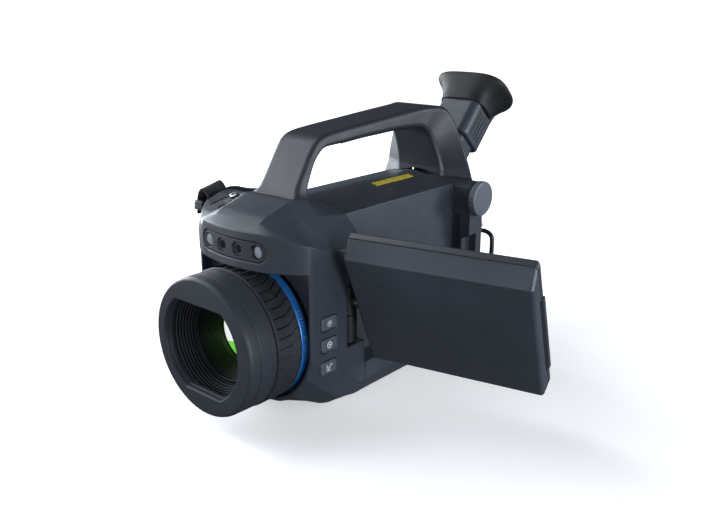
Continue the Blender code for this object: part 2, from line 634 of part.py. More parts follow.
# x, z of the closed screen; the end outlines are smaller, so the ends are chamfered
COVER_OUTLINE = [(57.2, 31.3), (57.2, 128.8), (56.6, 129.6), (47.7, 137.7), (46.0, 138.8),
                 (46.0, 30.3), (56.2, 30.3)]
COVER_END = [(55.8, 32.4), (55.8, 128.0), (55.2, 128.6), (47.4, 136.0), (46.0, 137.0),
             (46.0, 31.6), (55.0, 31.6)]
BEZEL_OUTLINE = [(45.7, 30.3), (45.7, 138.9), (41.6, 140.1), (40.6, 139.4), (40.0, 138.2),
                 (40.0, 31.3), (41.0, 30.3)]
BEZEL_END = [(45.7, 31.4), (45.7, 137.2), (42.0, 138.4), (41.6, 137.8), (41.2, 137.0),
             (41.2, 32.4), (42.0, 31.4)]


def turn_about(point, degrees, axis):
    point = Vector(point)
    return (Matrix.Translation(point) @ Matrix.Rotation(math.radians(degrees), 4, axis)
            @ Matrix.Translation(-point))


def opened(mesh):
    """Carry a part drawn with the screen closed to its open, tilted place."""
    matrix = (turn_about(HINGE_BASE, -SWING, 'Z')
              @ turn_about((HINGE_X, 0, TILT_Z), TILT, 'Y'))
    bmesh.ops.transform(mesh, matrix=matrix, verts=mesh.verts)
    return mesh


def screen_half(outline, end_outline):
    chamfer = 1.6
    stations = ((SCREEN_Y0, end_outline), (SCREEN_Y0 + chamfer, outline),
                (SCREEN_Y1 - chamfer, outline), (SCREEN_Y1, end_outline))
    return opened(loft([[(x, y, z) for x, z in points] for y, points in stations]))


def screen_box(x0, x1, inset0, inset1, z0, z1):
    """Box in the screen, inset from its hinge end and its free end."""
    return opened(box(x0, x1, SCREEN_Y0 + inset0, SCREEN_Y1 - inset1, z0, z1))


def build_hinge():
    bracket = make("hinge_bracket", box(38.8, 40.7, -48.8, SEAM_Y - 0.8, 48.2, 107.8),
                   "hinge_bracket_metal", smooth=35)
    for z0, z1, name in ((48.3, 68.7, "low"), (92.3, 107.7, "high")):
        join(bracket, "barrel_" + name, rod(HINGE_BASE, Z_AXIS, KNUCKLE_R, z0, z1))
        join(bracket, "web_" + name, box(40.2, HINGE_X, -45.0, -33.0, z0 + 0.4, z1 - 0.4))
    cut(bracket, "pin_bore", rod(HINGE_BASE, Z_AXIS, PIN_BORE_R, 46, 110, 20))
    make("hinge_pin", rod(HINGE_BASE, Z_AXIS, 2.4, 48.4, 107.6, 20, 0.4), "pin_steel",
         smooth=35)
    knuckle = make("hinge_knuckle", rod(HINGE_BASE, Z_AXIS, KNUCKLE_R, 69.1, 91.9, 24, 0.5),
                   "knuckle_metal", origin=HINGE_BASE, smooth=35)
    cut(knuckle, "knuckle_bore", rod(HINGE_BASE, Z_AXIS, PIN_BORE_R, 60, 100, 20))
    cut(knuckle, "shaft_bore", rod(TILT_CENTRE, SHAFT_AXIS, 4.3, 4.2, 12))
    make("screen_tilt_shaft", rod(TILT_CENTRE, SHAFT_AXIS, 4.0, 4.6, 24.0, 24, 0.4),
         "tilt_shaft_steel", origin=TILT_CENTRE, smooth=35)


def shaft_clearance():
    return rod(TILT_CENTRE, SHAFT_AXIS, 4.35, 0, 26.0)


def build_screen():
    cover = make("screen_back_cover", screen_half(COVER_OUTLINE, COVER_END),
                 "screen_cover_plastic", origin=TILT_CENTRE, smooth=20)
    cut(cover, "screen_bay", screen_box(44, 54.4, 22, 5, 35, 124.5))
    cut(cover, "back_shaft_bore", shaft_clearance())
    bezel = make("screen_bezel", screen_half(BEZEL_OUTLINE, BEZEL_END),
                 "screen_bezel_plastic", origin=TILT_CENTRE, smooth=20)
    cut(bezel, "glass_seat", screen_box(38, 42.3, 9, 9, 42, 124))
    join(bezel, "grip_lip",
         opened(box(40.9, 45.0, SCREEN_Y1 - 2.5, SCREEN_Y1 + 1.2, 46.0, 111.0)))
    cut(bezel, "bezel_shaft_bore", shaft_clearance())
    cut(bezel, "glass_window", screen_box(38, 48, 14, 13, 47, 119))
    make("screen_glass", screen_box(40.35, 42.0, 9.3, 9.3, 42.3, 123.7), "screen_glass",
         origin=TILT_CENTRE)
    make("display_module", screen_box(42.8, 51.0, 26, 14.5, 48, 118),
         "display_module_metal", origin=TILT_CENTRE)


# ================= viewfinder =================
ELEVATION = math.radians(VIEWFINDER_ELEVATION)
TUBE_AXIS = Vector((0, math.cos(ELEVATION), math.sin(ELEVATION)))
TUBE_UP = Vector((0, -math.sin(ELEVATION), math.cos(ELEVATION)))    # to the front and up
TUBE_START = PIVOT - TUBE_UP * TUBE_OFFSET
# Tube stations: distance along, half width, half height, corner radius
ARM = [(2.0, 13.0, 8.0, 5.0), (14.0, 16.4, 13.6, 6.0), (30.0, 17.0, 14.5, 7.0),
       (66.0, 17.0, 14.5, 7.0)]
ARM_PATH = [(24.0, 11, 9.5, 4), (70.0, 11, 9.5, 4)]
SLEEVE = [(57.0, 19.6, 17.4, 8.0), (58.4, 20.4, 18.2, 8.0), (88.0, 20.4, 18.4, 8.0),
          (99.0, 21.6, 19.6, 9.0)]
SLEEVE_SOCKET = [(50.0, 17.4, 14.9, 7.2), (66.6, 17.4, 14.9, 7.2)]
SLEEVE_PATH = [(60.0, 13, 12, 6), (104.0, 13, 12, 6)]
CUP_SEAT = [(99.4, 21.9, 19.9, 9.2), (89.0, 20.8, 18.8, 8.2)]
# Eyecup outside then inside: distance along, half width, height above, depth below
CUP = [
    (89.0, 22.6, 20.6, 20.6), (94.0, 23.6, 21.6, 21.6), (99.6, 26.2, 23.0, 24.0),
    (105.8, 31.2, 25.4, 26.8), (109.0, 34.8, 26.8, 28.8), (111.2, 36.0, 27.4, 29.6),
    (113.0, 35.4, 27.0, 29.2),
    (113.0, 32.6, 24.8, 26.8), (109.6, 29.2, 22.8, 24.2), (101.0, 22.4, 20.2, 20.6),
    (99.6, 15.0, 13.6, 13.6), (99.4, 14.6, 13.2, 13.2),
]


def on_tube(u, v, distance):
    return TUBE_START + Vector((u, 0, 0)) + TUBE_UP * v + TUBE_AXIS * distance


def cup_outline(half_w, above, below, count=28):
    """Rounded outline, flatter along the top."""
    points = []
    for k in range(count):
        angle = 2 * math.pi * k / count
        c, s = math.cos(angle), math.sin(angle)
        power_u, power_v, height = (0.62, 0.55, above) if s > 0 else (0.92, 0.95, below)
        points.append((half_w * math.copysign(abs(c) ** power_u, c),
                       height * math.copysign(abs(s) ** power_v, s)))
    return points


def build_viewfinder_tube():
    arm = make("viewfinder_arm", loft(rounded_rings(on_tube, ARM, 4)),
               "viewfinder_arm_plastic", origin=PIVOT, smooth=35)
    join(arm, "arm_hub", rod(PIVOT, X_AXIS, 11.6, -18.0, 18.0, 32))
    cut(arm, "arm_bore", rod(PIVOT, X_AXIS, PIVOT_BORE_R, -26, 26, 20))
    cut(arm, "arm_optical_path", loft(rounded_rings(on_tube, ARM_PATH, 2)))
    sleeve = make("viewfinder_sleeve", loft(rounded_rings(on_tube, SLEEVE, 5)),
                  "viewfinder_sleeve_plastic", origin=PIVOT, smooth=35)
    cut(sleeve, "sleeve_socket", loft(rounded_rings(on_tube, SLEEVE_SOCKET, 4)))
    cut(sleeve, "sleeve_path", loft(rounded_rings(on_tube, SLEEVE_PATH, 3)))


def build_eyecup():
    """Flared ring whose inner seat grips the sleeve."""
    rings = [[on_tube(u, v, distance) for u, v in cup_outline(*sizes)]
             for distance, *sizes in CUP]
    # turn the seat's 28 points to start near the same bearing as the cup outline
    rings += [ring[3:] + ring[:3] for ring in rounded_rings(on_tube, CUP_SEAT, 6)]
    make("eyecup", loft(rings, loop=True), "eyecup_rubber", origin=PIVOT, smooth=40)


def build_eyepiece_and_pivot():
    eyepiece = [(0, 90.0), (11.6, 90.0), (11.6, 94.0), (8, 95.2), (0, 95.8)]
    make("eyepiece_lens", lathe(eyepiece, TUBE_START, TUBE_AXIS, 28), "eyepiece_glass",
         origin=PIVOT, smooth=40)
    make("viewfinder_pivot_shaft", rod(PIVOT, X_AXIS, 3.9, -25.0, 60.6, 20, 0.4),
         "pivot_steel", smooth=35)
    knob = [(PIVOT_BORE_R, 57.5), (13.6, 57.5), (14.5, 58.3), (14.5, 62.6), (13.7, 63.6),
            (0, 63.9), (0, 61.0), (PIVOT_BORE_R, 61.0)]
    make("viewfinder_knob", lathe(knob, PIVOT, X_AXIS, 32), "knob_plastic", origin=PIVOT,
         smooth=30)


# ================= inside =================
def build_internals():
    turned("detector_module", DETECTOR, 28, "detector_metal", smooth=35)
    make("stirling_cooler", rod((-20, 24, 30), Y_AXIS, 15.0, -30, 26, 28, 2.0),
         "cooler_metal", smooth=35)
    board = make("main_circuit_board", box(-44, 28, -24, 50, 104, 105.6),
                 "circuit_board_green")
    join(board, "processor", box(-30, -14, -12, 4, 105.0, 108.4))
    join(board, "memory", box(0, 12, 14, 26, 105.0, 108.0))
    make("battery_pack", prism(rounded_rect(28.5, 33.0, 3, 2, 0, 47.0), along_y, 61.0, 120.6),
         "battery_plastic")


# ================= rear, far side, base and deck =================
def build_rear():
    door = rounded_rect(33.5, 41.2, 3.0, 2, 0, 49.0)
    make("battery_door", prism(door, along_y, 122.3, BODY_REAR), "battery_door_plastic",
         origin=(0, BODY_REAR, 7.8), smooth=30)
    latch = [(126.3, 9.0, 4.0, 1.6), (127.6, 9.0, 4.0, 1.6), (128.4, 8.2, 3.2, 1.6)]
    make("battery_latch", loft(rounded_rings(along_y, latch, 2, (0, 82.0))),
         "latch_plastic", origin=(0, 126.3, 82.0), smooth=35)
    for name, x, z, radius in REAR_BUTTONS:
        make(name, rod((x, 0, z), Y_AXIS, radius, 124.0, 127.4, 24, 0.5),
             name + "_plastic", origin=(x, 127.0, z), smooth=35)


def build_far_side():
    cover = rounded_rect(COVER_HALF_Y - COVER_FIT, COVER_HALF_Z - COVER_FIT, 4.8, 3,
                         COVER_Y, COVER_Z)
    make("right_side_cover", prism(cover, along_x, -57.1, -55.5), "side_cover_plastic",
         smooth=30)
    screws = [(COVER_Y + dy, COVER_Z + dz) for dz in (-27, 27) for dy in (-36, 36)]
    for number, (y, z) in enumerate(screws, 1):
        make(f"cover_screw_{number}", rod((0, y, z), (-1, 0, 0), 2.2, 57.4, 58.2, 16, 0.2),
             "screw_steel", smooth=35)
    flap = rounded_rect(FLAP_HALF_Y - COVER_FIT, FLAP_HALF_Z - COVER_FIT, 3.8, 3,
                        FLAP_Y, FLAP_Z)
    make("connector_flap", prism(flap, along_x, -57.0, -55.6), "flap_rubber",
         origin=(-57.0, FLAP_Y, 18.4), smooth=30)


def build_base():
    plate = make("tripod_plate",
                 prism(rounded_rect(22, 22, 3.8, 3, 0, TRIPOD_Y), along_z, 0.0, 2.7),
                 "tripod_plate_metal", smooth=30)
    cut(plate, "tripod_thread", rod((0, TRIPOD_Y, 0), Z_AXIS, 3.2, -2, 5))
    stations = [(z, half_x, half_y, half_x * 0.98)
                for z, half_x, half_y in ((-1.5, 4.8, 41.4), (-0.9, 5.4, 42.0), (0.9, 5.4, 42.0))]
    for name, x in FEET:
        make(name, loft(rounded_rings(along_z, stations, 3, (x, FOOT_Y))), name + "_rubber",
             smooth=35)


def build_yellow_marking():
    """Thin plate laid on the deck."""
    profile = [(8.0, 0.3), (13.6, 0.3), (13.6, 0.6), (8.0, 0.6)]    # x, height off the deck
    outline = [(x, deck_z(x) + height) for x, height in profile]
    make("yellow_marking", prism(outline, along_y, 36.0, 84.0), "marking_yellow")


# ================= straps =================
# Paths are x, y, z.
STRAP_BAR = [(53.0, 126.5, 96.5), (53.0, 130.6, 96.5), (56.5, 132.2, 96.0),
             (61.0, 132.4, 94.0), (63.0, 132.4, 89.5), (63.0, 132.4, 74), (61.0, 132.4, 70),
             (56.5, 132.2, 68), (53.0, 130.6, 67.5), (53.0, 126.5, 67.5)]
FRONT_BRACKET = [(-55.8, -82, 139.5), (-61, -82.5, 140), (-64.6, -81.4, 139.6),
                 (-66.2, -77, 138.6), (-66.6, -67, 137.2), (-66.2, -57, 136.2),
                 (-63.4, -53.4, 135.9), (-57.7, -53.0, 135.8)]
REAR_BRACKET = [(-57.5, 96, 72), (-61, 96, 72), (-64.6, 98, 72), (-65.4, 103, 72),
                (-64.6, 108, 72), (-61, 110, 72), (-57.5, 110, 72)]
WEBBING = [(-60.6, -66.6, 127.5), (-60.2, -66.6, 134.0), (-58.9, -66.2, 141.0),
           (-58.5, -65.8, 146.0), (-60.4, -66.2, 149.6), (-63.2, -66.6, 151.8),
           (-66.4, -66.8, 150.4), (-68.7, -67.0, 145.5), (-69.5, -67.2, 138.0),
           (-69.9, -67.4, 130.5)]
# x, y, z, half width, half thickness
HAND_STRAP = [
    (-73.4, -64.0, 132.5, 7, 1.6), (-74.0, -42.0, 137.2, 8.6, 2.2),
    (-77.0, -24.0, 129.5, 12, 3.4), (-82.6, -4.0, 118.6, 18, 4.4),
    (-86.6, 22.0, 105.0, 23, 4.6), (-84.6, 50.0, 93.0, 22, 4.4),
    (-78.0, 72.0, 84.6, 17, 3.4), (-71.4, 86.0, 79.6, 11, 2.4),
    (-66.8, 93.0, 76.6, 8, 1.6),
]


def build_strap_bar():
    """Bar at the rear of the screen side, with its screw."""
    make("strap_bar_left", sweep(uniform(STRAP_BAR, 1.9, 1.9), (0, 0.2, 1), 1.85),
         "strap_bar_metal", smooth=40)
    make("strap_bar_screw", rod((53.0, 0, 102.6), Y_AXIS, 2.6, 126.4, 129.0, 18, 0.5),
         "bright_screw", smooth=35)


def build_hand_strap():
    """Far side brackets, webbing looped over the front one, and the padded strap."""
    make("strap_bracket_front", sweep(uniform(FRONT_BRACKET, 3.6, 1.3), (0.1, 0, 1), 1.2),
         "bracket_front_plastic", smooth=40)
    make("strap_bracket_rear", sweep(uniform(REAR_BRACKET, 9.0, 1.3), Z_AXIS, 1.2),
         "bracket_rear_plastic", smooth=40)
    make("strap_webbing", sweep(uniform(WEBBING, 9.3, 1.0), (0.0, 0.973, 0.23)),
         "webbing_black", smooth=40)
    make("hand_strap", sweep(HAND_STRAP, (0.15, 0.3, 1.0), steps=3), "hand_strap_fabric",
         smooth=40)


for old in list(bpy.data.objects):
    bpy.data.objects.remove(old, do_unlink=True)

build_front_housing()
build_main_shell()
build_handle()
build_sensor_bar()
build_lens_group()
build_side_buttons()
build_record_button()
build_zoom_rocker()
build_hinge()
build_screen()
build_viewfinder_tube()
build_eyecup()
build_eyepiece_and_pivot()
build_internals()
build_rear()
build_far_side()
build_base()
build_yellow_marking()
build_strap_bar()
build_hand_strap()
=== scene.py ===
"""Looks of a handheld thermal imaging camera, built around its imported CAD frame.

The lens looks along -Y and Z is up. The screen folds out on the camera's left, +X; the hand
strap is on its right, -X. Meshes are drawn in millimetres and scaled to metres when made.
Shader distances, lights and the render camera are in metres.
"""
import bmesh
import bpy
import math
import random
from mathutils import Matrix, Vector


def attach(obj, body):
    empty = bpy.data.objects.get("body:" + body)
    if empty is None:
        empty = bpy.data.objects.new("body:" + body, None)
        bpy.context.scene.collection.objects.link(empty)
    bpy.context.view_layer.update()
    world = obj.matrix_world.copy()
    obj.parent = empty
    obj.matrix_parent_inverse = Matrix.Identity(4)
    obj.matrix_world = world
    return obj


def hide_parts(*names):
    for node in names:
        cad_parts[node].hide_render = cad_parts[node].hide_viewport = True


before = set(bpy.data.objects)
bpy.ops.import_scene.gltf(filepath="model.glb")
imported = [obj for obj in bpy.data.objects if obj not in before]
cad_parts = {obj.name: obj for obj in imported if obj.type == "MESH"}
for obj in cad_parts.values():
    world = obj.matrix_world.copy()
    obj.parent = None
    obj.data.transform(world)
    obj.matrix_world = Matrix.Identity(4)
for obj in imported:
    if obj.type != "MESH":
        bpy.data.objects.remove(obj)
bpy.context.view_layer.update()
random.seed(7)
scene = bpy.context.scene

MM = 0.001
X_AXIS, Y_AXIS, Z_AXIS = (1, 0, 0), (0, 1, 0), (0, 0, 1)

# ================= driving dimensions, mm and degrees =================
LENS_Z = 58.6
LENS_CENTRE = (0, 0, LENS_Z)
LENS_SEGMENTS = 144
BODY_REAR = 126.0
SEAM_Y = -30.0              # joint between the front housing and the main shell
SEAM_GAP = 0.3
RECESS_X = 38.8             # inner wall, rear end and floor of the screen recess
RECESS_Y1 = 105.2
RECESS_Z0 = 29.3
HINGE_X, HINGE_Y = 48.2, -38.9
TILT_Z = 78.8
SWING_REST = 78.06
TILT_REST = 26.19
PIVOT = Vector((0, 114.7, 128.6))   # viewfinder pivot
VIEWFINDER_RISE = 47.1
VIEWFINDER_DROP = 7.6
FOCUS_R = 50.9
BROW_FRONT, BOW = -106.4, 0.00465   # the brow bows back by BOW * x * x
PILL_Z = 124.7              # long opening in the brow
PILL_HALF_W, PILL_R = 32.2, 7.25
PILL_ARC_X = 24.95          # centres of its round ends
BAFFLE_Y, BAFFLE_PITCH = -126.7, 1.98


# ================= shader helpers =================
class Shader:
    """One material's node tree. Texture and maths methods return output sockets."""

    def __init__(self, name):
        self.material = bpy.data.materials.new(name)
        self.material.use_nodes = True
        self.tree = self.material.node_tree
        self.principled = self.tree.nodes["Principled BSDF"]
        self.coords = self.node("ShaderNodeTexCoord").outputs["Object"]

    def node(self, kind, **properties):
        node = self.tree.nodes.new(kind)
        for key, value in properties.items():
            setattr(node, key, value)
        return node

    def feed(self, socket, value):
        """Links a socket, or sets a number or an opaque colour."""
        if isinstance(value, bpy.types.NodeSocket):
            self.tree.links.new(value, socket)
        elif isinstance(value, tuple):
            socket.default_value = (*value, 1.0)
        else:
            socket.default_value = value

    def math(self, operation, a, b=0.0):
        node = self.node("ShaderNodeMath", operation=operation)
        for socket, value in zip(node.inputs, (a, b, 0.0)):
            self.feed(socket, value)
        return node.outputs[0]

    def add(self, a, b):
        return self.math("ADD", a, b)

    def sub(self, a, b):
        return self.math("SUBTRACT", a, b)

    def mul(self, a, b):
        return self.math("MULTIPLY", a, b)

    def div(self, a, b):
        return self.math("DIVIDE", a, b)

    def fract(self, a):
        return self.math("FRACT", a)

    def below(self, a, limit):
        return self.math("LESS_THAN", a, limit)

    def above(self, a, limit):
        return self.math("GREATER_THAN", a, limit)

    def noise(self, scale, detail=2.0, rough=0.5, coords=None):
        node = self.node("ShaderNodeTexNoise")
        self.feed(node.inputs["Vector"], coords or self.coords)
        node.inputs["Scale"].default_value = scale
        node.inputs["Detail"].default_value = detail
        node.inputs["Roughness"].default_value = rough
        return node.outputs["Fac"]

    def cells(self, scale):
        node = self.node("ShaderNodeTexVoronoi")
        self.feed(node.inputs["Vector"], self.coords)
        node.inputs["Scale"].default_value = scale
        return node.outputs["Distance"]

    def mix(self, factor, a, b):
        """Colour a where the factor is 0, colour b where it is 1."""
        node = self.node("ShaderNodeMix", data_type="RGBA")
        self.feed(node.inputs["Factor"], factor)
        self.feed(node.inputs[6], a)
        self.feed(node.inputs[7], b)
        return node.outputs[2]

    def ramp(self, value, low, high, start=0.0, end=1.0):
        """Maps low..high to start..end, clamped."""
        node = self.node("ShaderNodeMapRange")
        self.feed(node.inputs[0], value)
        for i, limit in enumerate((low, high, start, end)):
            node.inputs[i + 1].default_value = limit
        node.clamp = True
        return node.outputs[0]

    def xyz(self, vector=None):
        node = self.node("ShaderNodeSeparateXYZ")
        self.feed(node.inputs[0], vector or self.coords)
        return node.outputs[0], node.outputs[1], node.outputs[2]

    def bump(self, height, strength, distance, normal=None):
        node = self.node("ShaderNodeBump")
        node.inputs["Strength"].default_value = strength
        node.inputs["Distance"].default_value = distance
        self.feed(node.inputs["Height"], height)
        if normal is not None:
            self.feed(node.inputs["Normal"], normal)
        return node.outputs[0]

    def soft_edge(self, radius):
        """Normal with edges rounded by a radius in mm; none for zero."""
        if not radius:
            return None
        node = self.node("ShaderNodeBevel", samples=6)
        node.inputs["Radius"].default_value = radius * MM
        return node.outputs[0]

    def done(self, **inputs):
        """Feeds the Principled inputs and returns the material."""
        for key, value in inputs.items():
            self.feed(self.principled.inputs[key.replace("_", " ")], value)
        return self.material


def tone(colour, gain, lift=0.0):
    return tuple(min(1, c * gain + lift) for c in colour)


# ================= materials =================
def plastic(name, colour, rough=0.46, grain=0.35, grain_mm=0.45, edge=0.6, var=0.16,
            spec=0.5, wear=0.12):
    """Moulded plastic: fine spark-eroded grain, faint handling marks, worn-bright edges."""
    s = Shader(name)
    large = s.noise(scale=16.0, detail=3.0)
    medium = s.noise(scale=140.0, detail=4.0, rough=0.6)
    fine = s.noise(scale=1000.0 / grain_mm)
    cell = s.cells(scale=1000.0 / (grain_mm * 1.6))
    base = s.mix(s.ramp(large, low=0.3, high=0.7), tone(colour, 1 - var), tone(colour, 1 + var))
    base = s.mix(s.mul(s.ramp(cell, low=0.15, high=0.6), 0.25), base, tone(colour, 0.72))
    point = s.node("ShaderNodeNewGeometry").outputs["Pointiness"]
    worn = s.mul(s.ramp(point, low=0.52, high=0.62), s.ramp(medium, low=0.35, high=0.7))
    base = s.mix(s.mul(worn, wear), base, tone(colour, 3.0, lift=0.03))
    roughness = s.add(s.mul(s.ramp(medium, low=0.3, high=0.75), 0.12),
                      s.add(s.mul(fine, 0.08), rough - 0.1))
    height = s.add(s.mul(fine, 0.6), s.mul(cell, 0.5))
    normal = s.bump(height, strength=grain, distance=0.00006, normal=s.soft_edge(edge))
    return s.done(Base_Color=base, Roughness=roughness, Normal=normal,
                  Specular_IOR_Level=spec, Coat_Roughness=0.25)


def rubber(name, colour, rough=0.62, edge=0.35, grain=0.5, spec=0.35):
    """Matt rubber with a little pale dust."""
    s = Shader(name)
    fine = s.noise(scale=2600.0, detail=3.0)
    medium = s.noise(scale=220.0, detail=4.0, rough=0.65)
    dust = s.ramp(s.noise(scale=60.0, detail=6.0, rough=0.7), low=0.55, high=0.8)
    base = s.mix(s.ramp(medium, low=0.3, high=0.7), tone(colour, 0.75), tone(colour, 1.35))
    base = s.mix(s.mul(dust, 0.06), base, (0.06, 0.062, 0.068))
    roughness = s.add(s.mul(medium, 0.18), rough - 0.08)
    normal = s.bump(fine, strength=grain, distance=0.00008, normal=s.soft_edge(edge))
    return s.done(Base_Color=base, Roughness=roughness, Normal=normal,
                  Specular_IOR_Level=spec)


# noise scale on each axis; the marks run along the axis with the low one
BRUSH_SCALE = {"x": (40, 1800, 1800), "y": (1800, 40, 1800), None: (900, 900, 900)}


def metal(name, colour, rough=0.3, brush=None, edge=0.25, metallic=1.0):
    """Brushed or turned metal."""
    s = Shader(name)
    mapping = s.node("ShaderNodeMapping")
    s.feed(mapping.inputs["Vector"], s.coords)
    mapping.inputs["Scale"].default_value = BRUSH_SCALE[brush]
    marks = s.noise(scale=1.0, detail=3.0, rough=0.6, coords=mapping.outputs[0])
    medium = s.noise(scale=160.0, detail=3.0)
    base = s.mix(s.ramp(marks, low=0.3, high=0.7), tone(colour, 0.82), tone(colour, 1.12))
    roughness = s.add(s.mul(marks, 0.16), s.add(s.mul(medium, 0.1), rough - 0.12))
    normal = s.bump(marks, strength=0.2, distance=0.00003, normal=s.soft_edge(edge))
    return s.done(Base_Color=base, Metallic=metallic, Roughness=roughness, Normal=normal)


def glass(name, colour, tint):
    """Coated dark glass: faint smears in the roughness, tint towards the rim."""
    s = Shader(name)
    smear = s.noise(scale=70.0, detail=5.0, rough=0.7)
    layer = s.node("ShaderNodeLayerWeight")
    layer.inputs["Blend"].default_value = 0.4
    base = s.mix(layer.outputs["Facing"], colour, tint)
    base = s.mix(s.mul(smear, 0.2), base, tone(colour, 0.6))
    roughness = s.add(s.mul(s.ramp(smear, low=0.5, high=0.8), 0.05), 0.04)
    return s.done(Base_Color=base, Roughness=roughness, Specular_IOR_Level=0.6,
                  Coat_Weight=1.0, Coat_Roughness=0.03,
                  Normal=s.bump(s.noise(scale=900.0), strength=0.02, distance=0.00002))


def weave(name, colour, pitch, fuzz):
    """Woven nylon from the UV map (metres): staggered cells with fibre strands inside each."""
    s = Shader(name)
    u, v, _ = s.xyz(s.node("ShaderNodeTexCoord").outputs["UV"])
    per_metre = 1.0 / (pitch * MM)
    u = s.mul(u, per_metre)
    v = s.mul(v, per_metre * 0.62)
    across = s.fract(u)
    row = s.math("MODULO", s.math("FLOOR", u), 2.0)
    along = s.fract(s.add(v, s.mul(s.math("ABSOLUTE", row), 0.5)))
    hump_u = s.math("SINE", s.mul(across, math.pi))
    hump_v = s.math("SINE", s.mul(along, math.pi))
    cell = s.mul(s.math("POWER", s.math("ABSOLUTE", hump_u), 0.6),
                 s.math("POWER", s.math("ABSOLUTE", hump_v), 0.5))
    strand = s.math("SINE", s.mul(s.add(across, s.mul(along, 0.35)), 2 * math.pi * 4))
    height = s.add(cell, s.mul(strand, 0.06))
    hairs = s.noise(scale=1600.0, detail=4.0, rough=0.7)
    height = s.add(height, s.mul(hairs, 0.25))
    # colour follows each cell's hump: painted shade down between the cells, painted light on
    # their tops
    base = s.mix(cell, tone(colour, 0.22), tone(colour, 1.5))
    base = s.mix(s.mul(s.ramp(hairs, low=0.4, high=0.8), 0.35), base, tone(colour, 2.4))
    return s.done(Base_Color=base, Roughness=0.78, Sheen_Weight=0.35, Sheen_Roughness=0.4,
                  Normal=s.bump(height, strength=0.9, distance=0.0003 * fuzz),
                  Specular_IOR_Level=0.3)


def baffle_black():
    """Black baffle: crests painted lighter than the grooves between them, as painted light on
    the crests and painted shade in the grooves.
    """
    s = Shader("baffle_black")
    _, y, _ = s.xyz()
    phase = s.fract(s.div(s.add(y, -BAFFLE_Y * MM), BAFFLE_PITCH * MM))
    # painted light on each crest; the grooves between stay dark as painted shade
    painted_crest_light = s.mul(s.ramp(phase, low=0.02, high=0.08),
                  s.ramp(phase, low=0.42, high=0.52, start=1.0, end=0.0))
    speck = s.noise(scale=900.0, detail=3.0)
    base = s.mix(painted_crest_light, (0.004, 0.0042, 0.005), (0.060, 0.064, 0.074))
    base = s.mix(s.mul(speck, 0.3), base, (0.010, 0.0105, 0.012))
    return s.done(Base_Color=base, Roughness=s.add(s.mul(speck, 0.15), 0.42),
                  Normal=s.bump(speck, strength=0.15, distance=0.00003,
                                normal=s.soft_edge(0.12)))


def frosted_lamp():
    s = Shader("frosted_lamp")
    _, _, z = s.xyz()
    ribs = s.math("SINE", s.mul(z, 2 * math.pi / 0.0009))
    speck = s.noise(scale=900.0, detail=3.0)
    base = s.mix(s.ramp(speck, low=0.3, high=0.7), (0.25, 0.27, 0.30), (0.34, 0.36, 0.395))
    return s.done(Base_Color=base, Roughness=0.62, Coat_Weight=0.25, Coat_Roughness=0.3,
                  Normal=s.bump(s.add(s.mul(ribs, 0.3), speck), strength=0.25,
                                distance=0.0001))


def germanium_coated():
    """Infrared lens coating: deep green in the middle, yellow-green towards the rim, with a
    painted studio reflection emitted over it.
    """
    s = Shader("germanium_coated")
    x, _, z = s.xyz()
    radius = s.math("SQRT", s.add(s.math("POWER", x, 2.0),
                                  s.math("POWER", s.sub(z, LENS_Z * MM), 2.0)))
    rim = s.ramp(radius, low=0.004, high=0.0215)
    cloud = s.noise(scale=60.0, detail=4.0)
    base = s.mix(rim, (0.17, 0.46, 0.10), (0.32, 0.68, 0.18))
    base = s.mix(s.mul(cloud, 0.12), base, (0.06, 0.24, 0.05))
    # painted studio reflection, emitted and seen from the screen side only: white above, green
    # below, dark rim
    view_x, _, view_z = s.xyz(s.node("ShaderNodeNewGeometry").outputs["Incoming"])
    painted_reflection_mask = s.mul(s.ramp(view_x, low=0.45, high=0.62),
                 s.ramp(radius, low=0.0203, high=0.0209, start=1.0, end=0.0))
    painted_reflection_mask = s.mul(painted_reflection_mask, s.ramp(view_z, low=0.12, high=0.26))
    # a sloping line across the lens parts the painted white from the painted green
    height = s.sub(s.sub(z, (LENS_Z - 6.0) * MM), s.mul(x, 0.283))
    painted_reflection = s.mix(s.ramp(height, low=-0.0002, high=0.0002), (0.20, 0.72, 0.085),
                 (1.0, 1.0, 0.98))
    # the emission paints the reflection on the lens
    return s.done(Base_Color=base, Metallic=0.95, Roughness=s.add(s.mul(cloud, 0.03), 0.03),
                  Coat_Weight=1.0, Coat_Roughness=0.02, Emission_Color=painted_reflection,
                  Emission_Strength=s.mul(painted_reflection_mask, 1.0))


def tube_black():
    """Black anodised tube with a painted green reflection of the lens coating close to the
    lens, weaker towards the top.
    """
    s = Shader("tube_black")
    _, y, z = s.xyz()
    # painted reflection of the green coating near the lens, fading towards the top
    painted_green_reflection = s.ramp(y, low=-0.1120, high=-0.0990)
    painted_green_reflection = s.mul(painted_green_reflection, s.ramp(z, low=(LENS_Z - 16.0) * MM, high=(LENS_Z + 16.0) * MM,
                                start=1.0, end=0.22))
    speck = s.noise(scale=900.0, detail=3.0)
    base = s.mix(painted_green_reflection, (0.012, 0.0125, 0.013), (0.040, 0.085, 0.012))
    base = s.mix(s.mul(speck, 0.3), base, (0.006, 0.007, 0.007))
    return s.done(Base_Color=base, Metallic=0.2, Roughness=s.add(s.mul(speck, 0.14), 0.30),
                  Normal=s.bump(speck, strength=0.15, distance=0.00003,
                                normal=s.soft_edge(0.15)))


